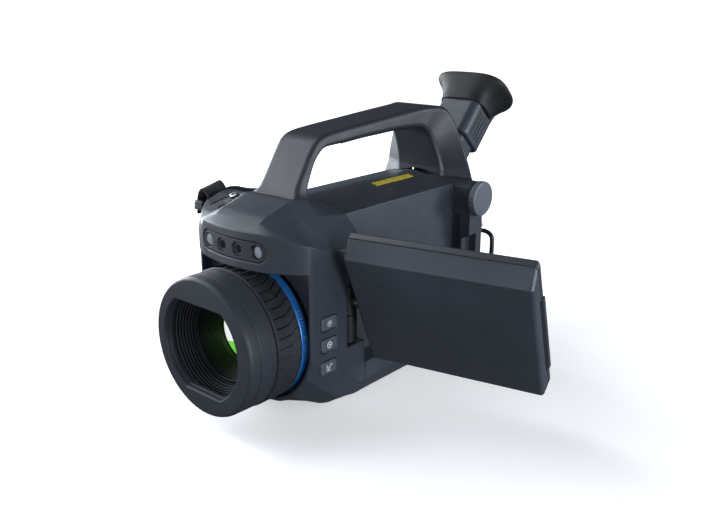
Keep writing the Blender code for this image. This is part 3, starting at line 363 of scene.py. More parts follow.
def blue_ring():
    """Blue anodised ring: ticks every 3 degrees, longer ones every 15, in four groups."""
    s = Shader("blue_ring")
    x, y, z = s.xyz()
    angle = s.mul(s.math("ARCTAN2", s.sub(z, LENS_Z * MM), x), 180 / math.pi)
    angle = s.add(angle, 360.0)

    def line(step, half_width):
        phase = s.fract(s.div(angle, step))
        return s.below(s.math("ABSOLUTE", s.sub(phase, 0.5)), half_width)

    minor = line(3.0, half_width=0.075)
    major = line(15.0, half_width=0.03)
    y_mm = s.div(y, MM)
    short = s.mul(s.above(y_mm, -85.1), s.below(y_mm, -83.8))
    long = s.mul(s.above(y_mm, -85.7), s.below(y_mm, -83.2))
    group = s.below(s.fract(s.div(s.add(angle, 7.0), 90.0)), 0.42)
    tick = s.mul(s.math("MAXIMUM", s.mul(minor, short), s.mul(major, long)), group)
    speck = s.noise(scale=1400.0, detail=3.0)
    cloud = s.noise(scale=90.0, detail=3.0)
    base = s.mix(s.ramp(cloud, low=0.3, high=0.7), (0.022, 0.20, 0.62), (0.034, 0.27, 0.76))
    base = s.mix(s.mul(tick, 0.8), base, (0.55, 0.66, 0.8))
    roughness = s.add(s.mul(speck, 0.14), 0.26)
    return s.done(Base_Color=base, Metallic=s.mul(s.sub(1.0, tick), 0.25),
                  Roughness=roughness,
                  Normal=s.bump(speck, strength=0.15, distance=0.00004,
                                normal=s.soft_edge(0.25)),
                  Coat_Weight=0.3, Coat_Roughness=0.2)


def yellow_hatch():
    """Yellow printed strip with diagonal hatching."""
    s = Shader("yellow_hatch")
    x, y, _ = s.xyz()
    diagonal = s.add(s.div(y, 0.0024), s.div(x, 0.0024))
    line = s.below(s.fract(diagonal), 0.32)
    speck = s.noise(scale=1200.0, detail=3.0)
    base = s.mix(s.ramp(speck, low=0.3, high=0.7), (0.62, 0.50, 0.035), (0.76, 0.62, 0.06))
    base = s.mix(s.mul(line, 0.55), base, (0.16, 0.13, 0.02))
    return s.done(Base_Color=base, Roughness=0.45,
                  Normal=s.bump(speck, strength=0.2, distance=0.00004))


def circuit_board():
    """Green board with a grid of traces and scattered pads."""
    s = Shader("circuit_board")
    x, y, _ = s.xyz()
    trace_x = s.below(s.fract(s.div(x, 0.0021)), 0.14)
    trace_y = s.below(s.fract(s.div(y, 0.0034)), 0.1)
    pads = s.below(s.cells(scale=420.0), 0.16)
    base = s.mix(s.noise(scale=200.0, detail=3.0), (0.006, 0.07, 0.03), (0.01, 0.12, 0.05))
    base = s.mix(s.mul(s.math("MAXIMUM", trace_x, trace_y), 0.5), base, (0.02, 0.2, 0.09))
    base = s.mix(pads, base, (0.5, 0.46, 0.3))
    return s.done(Base_Color=base, Roughness=0.4, Coat_Weight=0.4,
                  Normal=s.bump(s.math("MAXIMUM", trace_x, trace_y), strength=0.3,
                                distance=0.00005))


MATERIALS = {
    "body": plastic("body_plastic", (0.045, 0.0515, 0.066), rough=0.44, edge=0.9),
    "handle": plastic("handle_plastic", (0.027, 0.0310, 0.0395), edge=0.35),
    "hood": plastic("hood_plastic", (0.037, 0.0420, 0.053), rough=0.50, grain=0.22,
                    grain_mm=0.3, spec=0.35),
    "cover": plastic("screen_cover_plastic", (0.056, 0.063, 0.079), rough=0.42, grain=0.18,
                     grain_mm=0.3, edge=0.7),
    "frame": plastic("screen_frame_plastic", (0.042, 0.047, 0.058), rough=0.4, grain=0.2,
                     grain_mm=0.3, edge=0.5),
    "sensor_bar": plastic("sensor_bar_plastic", (0.034, 0.038, 0.047), rough=0.48,
                          grain=0.12, grain_mm=0.3, edge=0.35),
    "ring_grey": plastic("window_ring_grey", (0.060, 0.066, 0.078), rough=0.42, grain=0.1,
                         grain_mm=0.25, edge=0.1),
    "eye_face": plastic("window_face_grey", (0.026, 0.028, 0.034), rough=0.5, grain=0.08,
                        grain_mm=0.25, edge=0.0),
    "key": plastic("key_plastic", (0.10, 0.112, 0.13), rough=0.42, grain=0.2,
                   grain_mm=0.25, edge=0.4),
    "control": plastic("control_plastic", (0.012, 0.013, 0.015), rough=0.36, grain=0.2,
                       grain_mm=0.25, edge=0.4),
    "bracket": plastic("bracket_plastic", (0.050, 0.056, 0.067), rough=0.42, grain=0.25,
                       grain_mm=0.3, edge=0.5),
    "knob": plastic("knob_plastic", (0.125, 0.138, 0.163), rough=0.40, grain=0.18,
                    grain_mm=0.3, edge=0.3),
    "battery": plastic("battery_plastic", (0.02, 0.02, 0.023), rough=0.5, grain=0.4,
                       grain_mm=0.6, edge=0.5),
    "tread": rubber("tread_rubber", (0.026, 0.028, 0.033), edge=0.2, rough=0.58),
    "cup": rubber("eyecup_rubber", (0.0085, 0.009, 0.0105), rough=0.55, edge=0.0,
                  grain=0.25, spec=0.4),
    "pad": rubber("pad_rubber", (0.010, 0.0105, 0.012)),
    "baffle": baffle_black(),
    "barrel": metal("barrel_black", (0.012, 0.0125, 0.0145), rough=0.34, metallic=0.4,
                    edge=0.2),
    "hinge": metal("hinge_painted", (0.018, 0.019, 0.022), rough=0.38, metallic=0.3,
                   edge=0.3),
    "steel": metal("steel_brushed", (0.52, 0.53, 0.55), brush="x"),
    "chrome": metal("bright_metal", (0.72, 0.73, 0.75), rough=0.2),
    "inner": metal("inner_machined", (0.42, 0.42, 0.44), rough=0.36, brush="y"),
    "dark_glass": glass("dark_glass", (0.006, 0.0065, 0.0075), tint=(0.02, 0.022, 0.03)),
    "panel_glass": glass("panel_glass", (0.006, 0.007, 0.009), tint=(0.015, 0.02, 0.03)),
    "mark_white": plastic("printed_white", (0.80, 0.82, 0.85), rough=0.5, grain=0.1,
                          edge=0.0, var=0.05, wear=0.0),
    "webbing": weave("webbing_nylon", (0.020, 0.021, 0.024), pitch=1.1, fuzz=1.0),
    "fabric": weave("strap_fabric", (0.017, 0.018, 0.021), pitch=0.55, fuzz=0.6),
    "binding": weave("binding_tape", (0.011, 0.0115, 0.013), pitch=0.45, fuzz=0.5),
    "thread": plastic("stitch_thread", (0.05, 0.052, 0.058), rough=0.7, grain=0.6,
                      grain_mm=0.2, edge=0.0, wear=0.0),
    "lamp": frosted_lamp(),
    "germanium": germanium_coated(),
    "tube_in": tube_black(),
    "blue": blue_ring(),
    "hatch": yellow_hatch(),
    "board": circuit_board(),
}


# ================= shapes: each returns a bmesh in mm =================
def loft(rings, closed=False):
    """Solid through rings of equal point counts; capped, or closed last to first."""
    shape = bmesh.new()
    rows = [[shape.verts.new(Vector(p)) for p in ring] for ring in rings]
    n = len(rows[0])
    for a, b in zip(rows, rows[1:] + rows[:1] if closed else rows[1:]):
        for i in range(n):
            j = (i + 1) % n
            shape.faces.new((a[i], a[j], b[j], b[i]))
    if not closed:
        shape.faces.new(rows[0])
        shape.faces.new(list(reversed(rows[-1])))
    return shape


def lathe(profile, centre, axis, segments):
    """Turned solid; profile is (radius, distance along axis). Ends at radius 0 close it."""
    shape = bmesh.new()
    along = Vector(axis).normalized()
    helper = Vector(Z_AXIS) if abs(along.z) < 0.9 else Vector(X_AXIS)
    side = helper.cross(along).normalized()
    up = along.cross(side)
    rows = []
    for radius, t in profile:
        middle = Vector(centre) + along * t
        if radius < 1e-6:
            rows.append([shape.verts.new(middle)])
            continue
        turns = [2 * math.pi * k / segments for k in range(segments)]
        rows.append([shape.verts.new(middle + (side * math.cos(a) + up * math.sin(a)) * radius)
                     for a in turns])
    pairs = list(zip(rows[:-1], rows[1:]))
    if len(rows[0]) > 1 and len(rows[-1]) > 1:
        pairs.append((rows[-1], rows[0]))
    for a, b in pairs:
        for k in range(segments):
            j = (k + 1) % segments
            if len(a) == 1:
                shape.faces.new((a[0], b[j], b[k]))
            elif len(b) == 1:
                shape.faces.new((a[k], a[j], b[0]))
            else:
                shape.faces.new((a[k], a[j], b[j], b[k]))
    return shape


def lens_lathe(profile, segments=LENS_SEGMENTS):
    """Turned about the lens axis; distances are y."""
    return lathe(profile, LENS_CENTRE, Y_AXIS, segments)


def rod(centre, axis, r, t0, t1, segments, chamfer=0.0):
    if chamfer:
        profile = [(0, t0), (r - chamfer, t0), (r, t0 + chamfer),
                   (r, t1 - chamfer), (r - chamfer, t1), (0, t1)]
    else:
        profile = [(0, t0), (r, t0), (r, t1), (0, t1)]
    return lathe(profile, centre, axis, segments)


def box(x0, x1, y0, y1, z0, z1):
    return loft([[(x0, y0, z), (x1, y0, z), (x1, y1, z), (x0, y1, z)] for z in (z0, z1)])


# placers: outline point (u, v) at depth t
def along_x(u, v, t):
    return (t, u, v)


def along_y(u, v, t):
    return (u, t, v)


def along_z(u, v, t):
    return (u, v, t)


def round_rect(half_w, half_h, r, n=3, cx=0.0, cy=0.0):
    """Rounded rectangle, counter-clockwise, n steps to a corner."""
    points = []
    for sx, sy, start in ((1, 1, 0), (-1, 1, 90), (-1, -1, 180), (1, -1, 270)):
        for k in range(n + 1):
            a = math.radians(start + 90 * k / n)
            points.append((cx + sx * (half_w - r) + r * math.cos(a),
                           cy + sy * (half_h - r) + r * math.sin(a)))
    return points


def circle(r, n, cx, cy):
    turns = [2 * math.pi * k / n for k in range(n)]
    return [(cx + r * math.cos(a), cy + r * math.sin(a)) for a in turns]


def prism(outline, place, t0, t1):
    return loft([[place(u, v, t) for u, v in outline] for t in (t0, t1)])


def stack(place, rows, n, cx=0.0, cy=0.0):
    """Loft of rounded rectangles; rows are (depth, half width, half height, radius)."""
    return loft([[place(u, v, t) for u, v in round_rect(half_w, half_h, r, n, cx, cy)]
                 for t, half_w, half_h, r in rows])


def merge(shapes):
    """Several shapes as one."""
    out = bmesh.new()
    for shape in shapes:
        mesh = bpy.data.meshes.new("part")
        shape.to_mesh(mesh)
        out.from_mesh(mesh)
        shape.free()
        bpy.data.meshes.remove(mesh)
    return out


def spline(values, i, t):
    """Catmull-Rom value between entries i and i + 1."""
    end = len(values) - 1
    a, b = values[max(i - 1, 0)], values[i]
    c, d = values[min(i + 1, end)], values[min(i + 2, end)]
    return 0.5 * ((2 * b) + (c - a) * t + (2 * a - 5 * b + 4 * c - d) * t * t
                  + (3 * b - a - 3 * c + d) * t ** 3)


# ================= objects =================
def new_object(name, shape):
    mesh = bpy.data.meshes.new(name)
    shape.to_mesh(mesh)
    shape.free()
    ob = bpy.data.objects.new(name, mesh)
    scene.collection.objects.link(ob)
    return ob


def raw(name, shape):
    """Object from a shape in mm, welded and scaled to metres, not yet dressed."""
    bmesh.ops.remove_doubles(shape, verts=shape.verts, dist=1e-4)
    bmesh.ops.recalc_face_normals(shape, faces=shape.faces)
    for v in shape.verts:
        v.co = v.co * MM
    return new_object(name, shape)


def bake(ob):
    """Applies the modifiers."""
    bpy.context.view_layer.update()
    graph = bpy.context.evaluated_depsgraph_get()
    mesh = bpy.data.meshes.new_from_object(ob.evaluated_get(graph))
    ob.modifiers.clear()
    old = ob.data
    ob.data = mesh
    if old.users == 0:
        bpy.data.meshes.remove(old)


def bevel(ob, width, segments, angle):
    m = ob.modifiers.new("bevel", "BEVEL")
    m.width = width * MM
    m.segments = segments
    m.limit_method = "ANGLE"
    m.angle_limit = math.radians(angle)
    m.use_clamp_overlap = True
    m.miter_outer = "MITER_ARC"
    bake(ob)


def cut(ob, *tools, operation="DIFFERENCE"):
    """Takes the tool shapes out of an object, one after another."""
    for shape in tools:
        tool = raw("tool", shape)
        m = ob.modifiers.new("b", "BOOLEAN")
        m.operation = operation
        m.object = tool
        m.solver = "EXACT"
        bake(ob)
        mesh = tool.data
        bpy.data.objects.remove(tool)
        bpy.data.meshes.remove(mesh)


def finish(ob, material, slot, node=None, smooth=32, body="root", weighted=True):
    """Shading, material, moving body and the CAD node it stands in for. The slot argument is
    not used.
    """
    mesh = ob.data
    mesh.name = ob.name
    mesh.shade_smooth()
    mesh.set_sharp_from_angle(angle=math.radians(smooth))
    if weighted:
        m = ob.modifiers.new("wn", "WEIGHTED_NORMAL")
        m.keep_sharp = True
        m.weight = 60
    mesh.materials.clear()
    mesh.materials.append(MATERIALS[material])
    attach(ob, body)
    if node:
        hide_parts(node)


def piece(name, shape, *dress, **options):
    finish(raw(name, shape), *dress, **options)


def dup(node, name, material, slot, edge=None, body="root"):
    """Finer copy of a simple CAD node: flat faces merged, edges rounded by edge mm."""
    shape = bmesh.new()
    shape.from_mesh(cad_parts[node].data)
    bmesh.ops.remove_doubles(shape, verts=shape.verts, dist=2e-6)
    bmesh.ops.dissolve_limit(shape, angle_limit=math.radians(1.5), verts=shape.verts,
                             edges=shape.edges)
    ob = new_object(name, shape)
    if edge:
        bevel(ob, edge, segments=2, angle=30)
    finish(ob, material, slot, node, body=body)


def square_to(w, tangent):
    """The part of w at right angles to the tangent, as a unit vector."""
    return (w - tangent * w.dot(tangent)).normalized()


def tangent_at(stations, i):
    """Direction of travel at a station; a station starts with its point."""
    after = stations[min(i + 1, len(stations) - 1)][0]
    return (after - stations[max(i - 1, 0)][0]).normalized()


def uv_grid(ob, n, girth, lengths):
    """UV in metres for a swept band of n-point rings: u round the ring, v along it."""
    layer = ob.data.uv_layers.new(name="UVMap")
    for poly in ob.data.polygons:
        steps = [i % n for i in poly.vertices]
        wraps = max(steps) - min(steps) > n // 2
        for loop, vertex, k in zip(poly.loop_indices, poly.vertices, steps):
            if wraps and k < n // 2:
                k += n
            layer.data[loop].uv = (girth * k / n * MM, lengths[vertex // n] * MM)


def band(name, path, half_w, half_t, width_dir, material, node=None, n=4, sub=6, r=None,
         wave=0.0, bulge=0.0, slot="webbing"):
    """Flat band along a smooth path, with a UV map; returns its (point, width direction,
    half width, half thickness) stations. The sizes and direction may be lists per point."""
    count = len(path)

    def listed(value):
        return value if isinstance(value, list) else [value] * count

    points = [Vector(p) for p in path]
    directions = [Vector(w) for w in listed(width_dir)]
    widths, depths = listed(half_w), listed(half_t)
    columns = (points, directions, widths, depths)
    stations = [tuple(spline(column, i, k / sub) for column in columns)
                for i in range(count - 1) for k in range(sub)]
    stations.append(tuple(column[-1] for column in columns))
    rings, lengths, length = [], [], 0.0
    for i, (p, w, a, t) in enumerate(stations):
        tangent = tangent_at(stations, i)
        w = square_to(w, tangent)
        normal = tangent.cross(w)
        if i:
            length += (p - stations[i - 1][0]).length
        lengths.append(length)
        outline = round_rect(a, t, r if r is not None else t * 0.95, n)
        # points along the long sides let the band bulge and wave
        dense = []
        for q0, q1 in zip(outline, outline[1:] + outline[:1]):
            dense.append(q0)
            if abs(q1[0] - q0[0]) > a * 0.5:
                dense += [(q0[0] + (q1[0] - q0[0]) * k / 10, q0[1] + (q1[1] - q0[1]) * k / 10)
                          for k in range(1, 10)]
        ring = []
        for u, v in dense:
            e = 1 - min(1.0, abs(u) / max(a, 1e-6)) ** 2
            v = v * (1 + bulge * e) + wave * math.sin(length * 0.55 + u * 0.4) * (0.3 + 0.7 * e)
            ring.append(p + w * u + normal * v)
        rings.append(ring)
    shape = loft(rings)
    for v in shape.verts:
        v.co = v.co * MM
    bmesh.ops.recalc_face_normals(shape, faces=shape.faces)
    ob = new_object(name, shape)
    girth = 2 * (2 * sum(widths) / count + 2 * sum(depths) / count)
    uv_grid(ob, len(rings[0]), girth, lengths)
    finish(ob, material, slot, node, smooth=50, weighted=False)
    return stations


# ================= body sections =================
def bow_y(x):
    """Front face of the bowed brow."""
    return BROW_FRONT + BOW * x * x


def section(y, *near, far=()):
    """Ring across the body, given as (x, z) from the crown down the +X side to the keel.
    far replaces the second, third and fourth side points on the -X side."""
    crown, *right, keel = near
    edge_x, edge_z = right[2]
    right.insert(3, (edge_x, min(122.0, edge_z - 4.0)))
    left = [(-x, z) for x, z in right]
    left[1:1 + len(far)] = far
    return [(x, y, z) for x, z in [crown] + right + [keel] + left[::-1]]


def brow(y, half_w, top, inner, outer, edge_z, far=()):
    """Section of the brow that overhangs the lens."""
    under = 111.5
    return section(y, (0, top), inner, outer, (half_w, edge_z), (half_w, under),
                   (half_w * 0.9, under), (half_w * 0.7, under), (half_w * 0.35, under),
                   (0, under), far=far)


FRONT = [
    brow(BROW_FRONT, 3.0, 137.5, (1.5, 137.5), (2.5, 137.4), 136.9),
    brow(-105.9, 11.0, 137.9, (7.0, 137.9), (10.5, 137.5), 136.9),
    brow(-105.0, 17.3, 138.6, (11.0, 138.5), (16.8, 137.6), 136.9),
    brow(-103.2, 26.2, 139.8, (16.0, 139.6), (25.6, 137.7), 136.9),
    brow(-101.0, 34.0, 141.2, (20.0, 140.9), (32.8, 137.8), 136.8,
         ((-32.8, 137.8), (-34.0, 133.0), (-34.0, 122.0))),
    brow(-97.0, 41.4, 143.6, (22.0, 143.2), (33.2, 139.2), 135.4,
         ((-33.2, 139.4), (-40.0, 134.6), (-41.4, 126.0))),
    brow(-92.0, 49.6, 146.2, (22.0, 145.8), (32.4, 140.6), 133.6,
         ((-35.6, 139.6), (-47.0, 134.0), (-49.6, 126.5))),
    brow(-88.0, 54.8, 147.3, (22.0, 146.9), (31.8, 141.4), 132.2,
         ((-40.0, 138.2), (-51.0, 134.6), (-54.8, 127.0))),
    brow(-86.0, 56.6, 147.8, (22.0, 147.4), (31.6, 141.7), 131.4,
         ((-41.0, 138.4), (-51.5, 140.0), (-56.6, 128.0))),
    section(-85.9, (0, 147.8), (22, 147.4), (31.6, 141.7), (56.7, 131.3), (56.7, 50),
            (51.5, 34.6), (37.8, 17.0), (20, 7.4), (0, 4.2),
            far=((-41.0, 138.5), (-51.5, 140.2), (-56.7, 128.1))),
    section(-82.0, (0, 149.0), (22, 148.6), (31.6, 142.0), (57.2, 129.6), (57.2, 46),
            (51.9, 30.4), (38.6, 13.6), (20.5, 5.4), (0, 2.8),
            far=((-36.5, 141.0), (-51.0, 145.2), (-57.2, 130.0))),
    section(-69.0, (0, 153.2), (22, 152.8), (32.6, 142.6), (57.2, 124.6), (57.2, 39),
            (51.7, 19.5), (40, 6.4), (20, 2.2), (0, 1.2),
            far=((-33.0, 147.8), (-51.0, 149.2), (-57.2, 131.5))),
    section(-61.0, (0, 153.2), (22, 152.8), (34.0, 142.4), (57.2, 122.8), (57.2, 35),
            (51.5, 13.6), (41, 2.4), (20, 0.6), (0, 0.3),
            far=((-36.0, 149.6), (-52.0, 149.6), (-57.2, 131.5))),
    section(-53.0, (0, 153.0), (22, 152.4), (35.6, 141.8), (57.2, 121.5), (57.2, 31),
            (51.5, 8), (41, 0), (20, 0), (0, 0),
            far=((-38.0, 147.6), (-51.5, 148.2), (-57.2, 131.0))),
    section(-36.0, (0, 148.8), (10, 148.2), (38.4, 140.2), (57.2, 121.0), (57.2, 16),
            (52, 4.5), (44, 0), (20, 0), (0, 0),
            far=((-39.2, 141.8), (-53.5, 136.5), (-57.2, 129.5))),
    section(SEAM_Y - SEAM_GAP, (0, 147.5), (6, 147.0), (39.3, 139.7), (57.2, 121),
            (57.2, 16), (52, 4.5), (44, 0), (20, 0), (0, 0),
            far=((-39.3, 139.7), (-56.9, 130.2), (-57.2, 126.0))),
]
FIRST_FULL = 9              # the first FRONT section that reaches below the brow


def main_section(y):
    """Section of the main shell; its +X edge rises towards the rear."""
    edge = 121.0 + 9.0 * min(1.0, (y - SEAM_Y) / 130.0)
    return section(y, (0, 147.5), (6, 147.0), (39.3, 139.7), (57.2, edge), (57.2, 16),
                   (52, 4.5), (44, 0), (20, 0), (0, 0),
                   far=((-39.3, 139.7), (-57.2, 130.0), (-57.2, 122.0)))


def front_at(y):
    """Front housing section between the measured ones."""
    for a, b in zip(FRONT, FRONT[1:]):
        y0, y1 = a[0][1], b[0][1]
        if y0 <= y <= y1:
            t = (y - y0) / (y1 - y0)
            return [(p[0] + (q[0] - p[0]) * t, y, p[2] + (q[2] - p[2]) * t)
                    for p, q in zip(a, b)]


def deck_z(x):
    """Height of the deck and shoulder at a distance from the centre."""
    x = abs(x)
    if x < 6:
        return 147.0 + (6 - x) / 12
    if x < 39.3:
        return 147.0 - (x - 6) * 7.3 / 33.3
    return 139.7 - (x - 39.3) * 9.7 / 17.9


# ================= front housing =================
def bowed_section(half_w):
    """Brow section at the station where the bow is half_w wide."""
    y = bow_y(half_w)
    ring = front_at(max(y, BROW_FRONT + 0.01))
    widest = max(p[0] for p in ring)
    scale = half_w / widest

    def fitted(x, z):
        if abs(abs(x) - widest) < 1e-6 or z < 112:
            return x * scale
        return x * min(1.0, scale) if abs(x) > half_w else x

    return [(fitted(x, z), y, z) for x, _, z in ring]


def lens_pocket(half_w, top):
    """Outline round the lens: elliptical below, rounded corners above."""
    corner = 11.0
    turns = [math.radians(180 + 180 * k / 64) for k in range(65)]
    points = [(half_w * math.cos(a), LENS_Z + 52.4 * math.sin(a)) for a in turns]
    for side, start in ((1, 0), (-1, 90)):
        for k in range(9):
            a = math.radians(start + 90 * k / 8)
            points.append((side * (half_w - corner) + corner * math.cos(a),
                           top - corner + corner * math.sin(a)))
    return points


def pill_outline(step=1.5):
    """Outline of the brow opening, with points no further apart than about a step."""
    points = round_rect(PILL_HALF_W, 7.3, PILL_R, 12, 0, PILL_Z)
    out = []
    for a, b in zip(points, points[1:] + points[:1]):
        n = max(1, int(math.hypot(b[0] - a[0], b[1] - a[1]) / step))
        out += [(a[0] + (b[0] - a[0]) * k / n, a[1] + (b[1] - a[1]) * k / n)
                for k in range(n)]
    return out


def pill_rim(rows, y0, y1):
    """Tool that softens the rim of the opening; rows are (depth behind the bow, growth)."""
    rings = []
    for depth, growth in rows:
        ring = []
        for u, v in pill_outline():
            cx = max(-PILL_ARC_X, min(PILL_ARC_X, u))
            out = Vector((u - cx, v - PILL_Z))
            size = max(out.length, 1e-6)
            q = Vector((cx, PILL_Z)) + out / size * (size + growth)
            ring.append((q.x, bow_y(q.x) + depth, q.y))
        rings.append(ring)
    first = [(x, y0, z) for x, _, z in rings[0]]
    last = [(x, y1, z) for x, _, z in rings[-1]]
    return loft([first] + rings + [last])


# side keys on the +X face: node name, y, z
SIDE_KEYS = [("button_light", -67.8, 72.4), ("button_preset", -68.1, 56.4),
             ("button_measure", -68.8, 39.5)]

# sloping shoulder patch that carries the thumb controls
SHOULDER_ORIGIN = Vector((-41.0, -75.5, 145.4))
SHOULDER_NORMAL = Vector((0.0, -0.4229, 0.9062))
SHOULDER_V = Vector((0.0, 0.9062, 0.4229))


def on_shoulder(u, v, t):
    return SHOULDER_ORIGIN + Vector(X_AXIS) * u + SHOULDER_V * v + SHOULDER_NORMAL * t


record_centre = on_shoulder(5.5, 7.9, 0)
ROCKER_UV = (6.2, -3.8)

rings = [bowed_section(x) for x in (3.0, 7.0, 11.0, 14.5, 18.0, 21.5, 25.0, 28.5, 31.5, 34.0)]
rings += [front_at(y) for y in (-99.6, -98.2, -96.6, -94.8, -92.8, -90.6, -88.4, -86.9, -86.0)]
rings += [FRONT[FIRST_FULL]]
rings += [front_at(y) for y in (-84.8, -83.4, -82.0, -79.0, -76.0, -72.5, -69.0,
                                -65.0, -61.0, -57.0, -53.0, -48.0, -42.0, -36.0)]
rings += [[(x, SEAM_Y - 0.02, z) for x, _, z in FRONT[-1]]]
front = raw("front_shell", loft(rings))
bevel(front, 1.5, segments=3, angle=17)
cut(front,
    box(-50.2, 34.3, -51.7, SEAM_Y + 5, 8.3, 123.7),
    loft([[(x, y, z) for x, z in lens_pocket(half_w, top)]
          for y, half_w, top in ((-90.0, 55.2, 112.2), (-76.9, 54.8, 111.8))]),
    rod(LENS_CENTRE, Y_AXIS, 48.6, -79.0, -60.0, 96),
    prism(pill_outline(), along_y, -112.0, -98.6),
    pill_rim(((-0.3, 0.75), (0.05, 0.5), (0.35, 0.15), (0.75, 0.0)), -112.0, -99.2))
for _, y, z in SIDE_KEYS:
    cut(front, stack(along_x, ((58.5, 8.9, 6.0, 3.2), (57.2, 8.5, 5.6, 2.9),
                               (56.5, 8.1, 5.2, 2.6), (52.4, 8.1, 5.2, 2.6)), 6, y, z))
cut(front,
    box(38.5, 60, -49.2, SEAM_Y + 5, 47.6, 108.4),
    rod(record_centre, SHOULDER_NORMAL, 3.8, -4.6, 8.0, 40),
    prism(round_rect(3.5, 6.5, 3.3, 8, *ROCKER_UV), on_shoulder, -5.0, 9.0),
    prism([(-5.4, -8.0), (-4.6, -8.6), (1.4, 4.6), (0.6, 5.2)], on_shoulder, -2.2, 8.0),
    rod(LENS_CENTRE, Y_AXIS, 27.3, -62.0, -48.0, 64))
finish(front, "body", "housing", "front_housing", 24)

# ================= main shell =================
FEET = [("foot_right", -36.0), ("foot_left", 36.0)]
FOOT_Y = 44
# node prefix, x, z, radius
REAR_KEYS = [("rear_mode", -44.0, 112.0, 4.0), ("rear_nav", -44.0, 96.0, 6.5)]
# y and z centres of the two panels on the -X side
SIDE_COVER_AT = (22, 86)
FLAP_AT = (40, 33.5)

rings = [main_section(y) for y in (SEAM_Y, 10.0, 60.0, 100.0, BODY_REAR - 2.0)]
rings.append([(x * 0.975, BODY_REAR, 73 + (z - 73) * 0.975 if z > 5 else z + 1.4)
              for x, _, z in main_section(BODY_REAR)])
shell = raw("main_shell", loft(rings))
bevel(shell, 1.3, segments=3, angle=12)
cut(shell, lathe([(0, 24.0), (13.8, 24.0), (13.8, 56.2), (13.1, 57.0), (0, 57.0)],
                 PIVOT, X_AXIS, 96), operation="UNION")
cut(shell,
    box(RECESS_X, 70, SEAM_Y - 3, RECESS_Y1, RECESS_Z0, 170),
    box(RECESS_X, 47.0, RECESS_Y1 - 1, RECESS_Y1 + 1.6, 42, 114),
    prism([(50.0, 94.4), (60.0, 99.1), (60.0, 58.0), (50.0, 58.0)], along_y,
          RECESS_Y1 - 1, 115.8),
    box(-53, 34.5, SEAM_Y - 5, 56, 6, 124),
    box(-30, 30, 59, 130, 12, 82),
    box(-34, 34, 121.9, 130, 7.4, 90.6),
    box(-18.6, 18.6, 100.4, 130, 96.0, 160),
    rod(PIVOT, X_AXIS, 4.3, -26, 60, 40),
    prism(round_rect(42, 33, 5, 8, *SIDE_COVER_AT), along_x, -60, -55.2),
    prism(round_rect(27, 15.5, 4, 8, *FLAP_AT), along_x, -60, -54.9),
    prism(round_rect(22.3, 22.3, 4, 8, 0, 18), along_z, -2, 3.0))
for _, x in FEET:
    cut(shell, prism(round_rect(5.8, 42.4, 5.7, 8, x, FOOT_Y), along_z, -2, 1.2))
for _, x, z, r in REAR_KEYS:
    cut(shell, rod((x, 0, z), Y_AXIS, r + 0.4, 122.6, 130, 48))
finish(shell, "body", "housing", "main_body_shell", 24)

# ================= handle =================
# outer y, z, inner y, z, half width outside and inside, corner
HANDLE = [
    (-60.8, 153.5, -50.0, 153.5, 20.5, 21.5, 3.0),
    (-56.6, 161.0, -46.2, 161.6, 19.6, 20.4, 3.0),
    (-48.6, 173.6, -39.6, 174.4, 19.2, 19.8, 3.0),
    (-42.2, 183.4, -34.0, 180.6, 19.2, 19.6, 3.0),
    (-36.6, 189.8, -28.6, 184.0, 19.2, 19.6, 3.0),
    (-27.6, 193.6, -22.0, 184.8, 19.2, 19.6, 3.0),
    (-10.0, 195.6, -8.6, 185.2, 19.2, 19.6, 3.0),
    (20.0, 197.8, 20.6, 187.0, 19.2, 19.6, 3.0),
    (56.0, 200.4, 56.4, 188.0, 19.2, 19.6, 3.0),
    (88.0, 202.4, 83.0, 187.0, 19.6, 19.6, 3.0),
    (101.5, 202.8, 90.0, 184.6, 22.5, 19.8, 3.0),
    (111.5, 200.8, 95.5, 180.6, 26.0, 20.2, 3.5),
    (117.2, 193.4, 99.0, 175.4, 29.6, 20.8, 3.5),
    (120.0, 183.0, 102.6, 168.0, 33.2, 21.4, 3.5),
    (122.4, 169.0, 106.4, 159.0, 38.2, 22.4, 3.5),
    (124.6, 156.0, 108.4, 151.8, 42.0, 23.4, 3.5),
    (125.8, 148.2, 108.8, 148.2, 44.0, 24.0, 3.5),
]


def round_corners(points, r, n):
    """Rounds every corner of a 2-D outline with n + 1 points each."""
    out = []
    for i, point in enumerate(points):
        p = Vector(point)
        u = Vector(points[i - 1]) - p
        v = Vector(points[(i + 1) % len(points)]) - p
        reach = min(r, u.length * 0.45, v.length * 0.45)
        q0, q1 = p + u / u.length * reach, p + v / v.length * reach
        for k in range(n + 1):
            t = k / n
            out.append(tuple(q0 * (1 - t) ** 2 + p * 2 * t * (1 - t) + q1 * t * t))
    return out


def handle_ring(outer_y, outer_z, inner_y, inner_z, outer_w, inner_w, corner):
    """Twelve-cornered ring across the handle, with its corners rounded."""
    outer = Vector((0, outer_y, outer_z))
    inward = Vector((0, inner_y, inner_z)) - outer
    depth = inward.length
    inward = inward / depth
    c = min(corner, depth * 0.45)
    half = [(0.0, outer_w - c), (c * 0.3, outer_w - c * 0.3), (c, outer_w),
            (depth - c, inner_w), (depth - c * 0.3, inner_w - c * 0.3), (depth, inner_w - c)]
    points = [outer + inward * s + Vector((w, 0, 0)) for s, w in half]
    points += [outer + inward * s + Vector((-w, 0, 0)) for s, w in reversed(half)]
    centre = sum(points, Vector()) / len(points)
    across = Vector(X_AXIS)
    down = ((points[3] + points[8]) / 2 - (points[2] + points[9]) / 2).normalized()
    flat = [((p - centre).dot(across), (p - centre).dot(down)) for p in points]
    return [centre + across * u + down * v for u, v in round_corners(flat, 0.9, 3)]


rings = [handle_ring(*row) for row in HANDLE]
# the last ring sinks into the deck; its rear corners spread
rings.append([Vector((p.x * (1.1 if abs(p.x) > 41 and p.y > 118 else 1), p.y,
                      deck_z(p.x) - 2.5)) for p in rings[-1]])
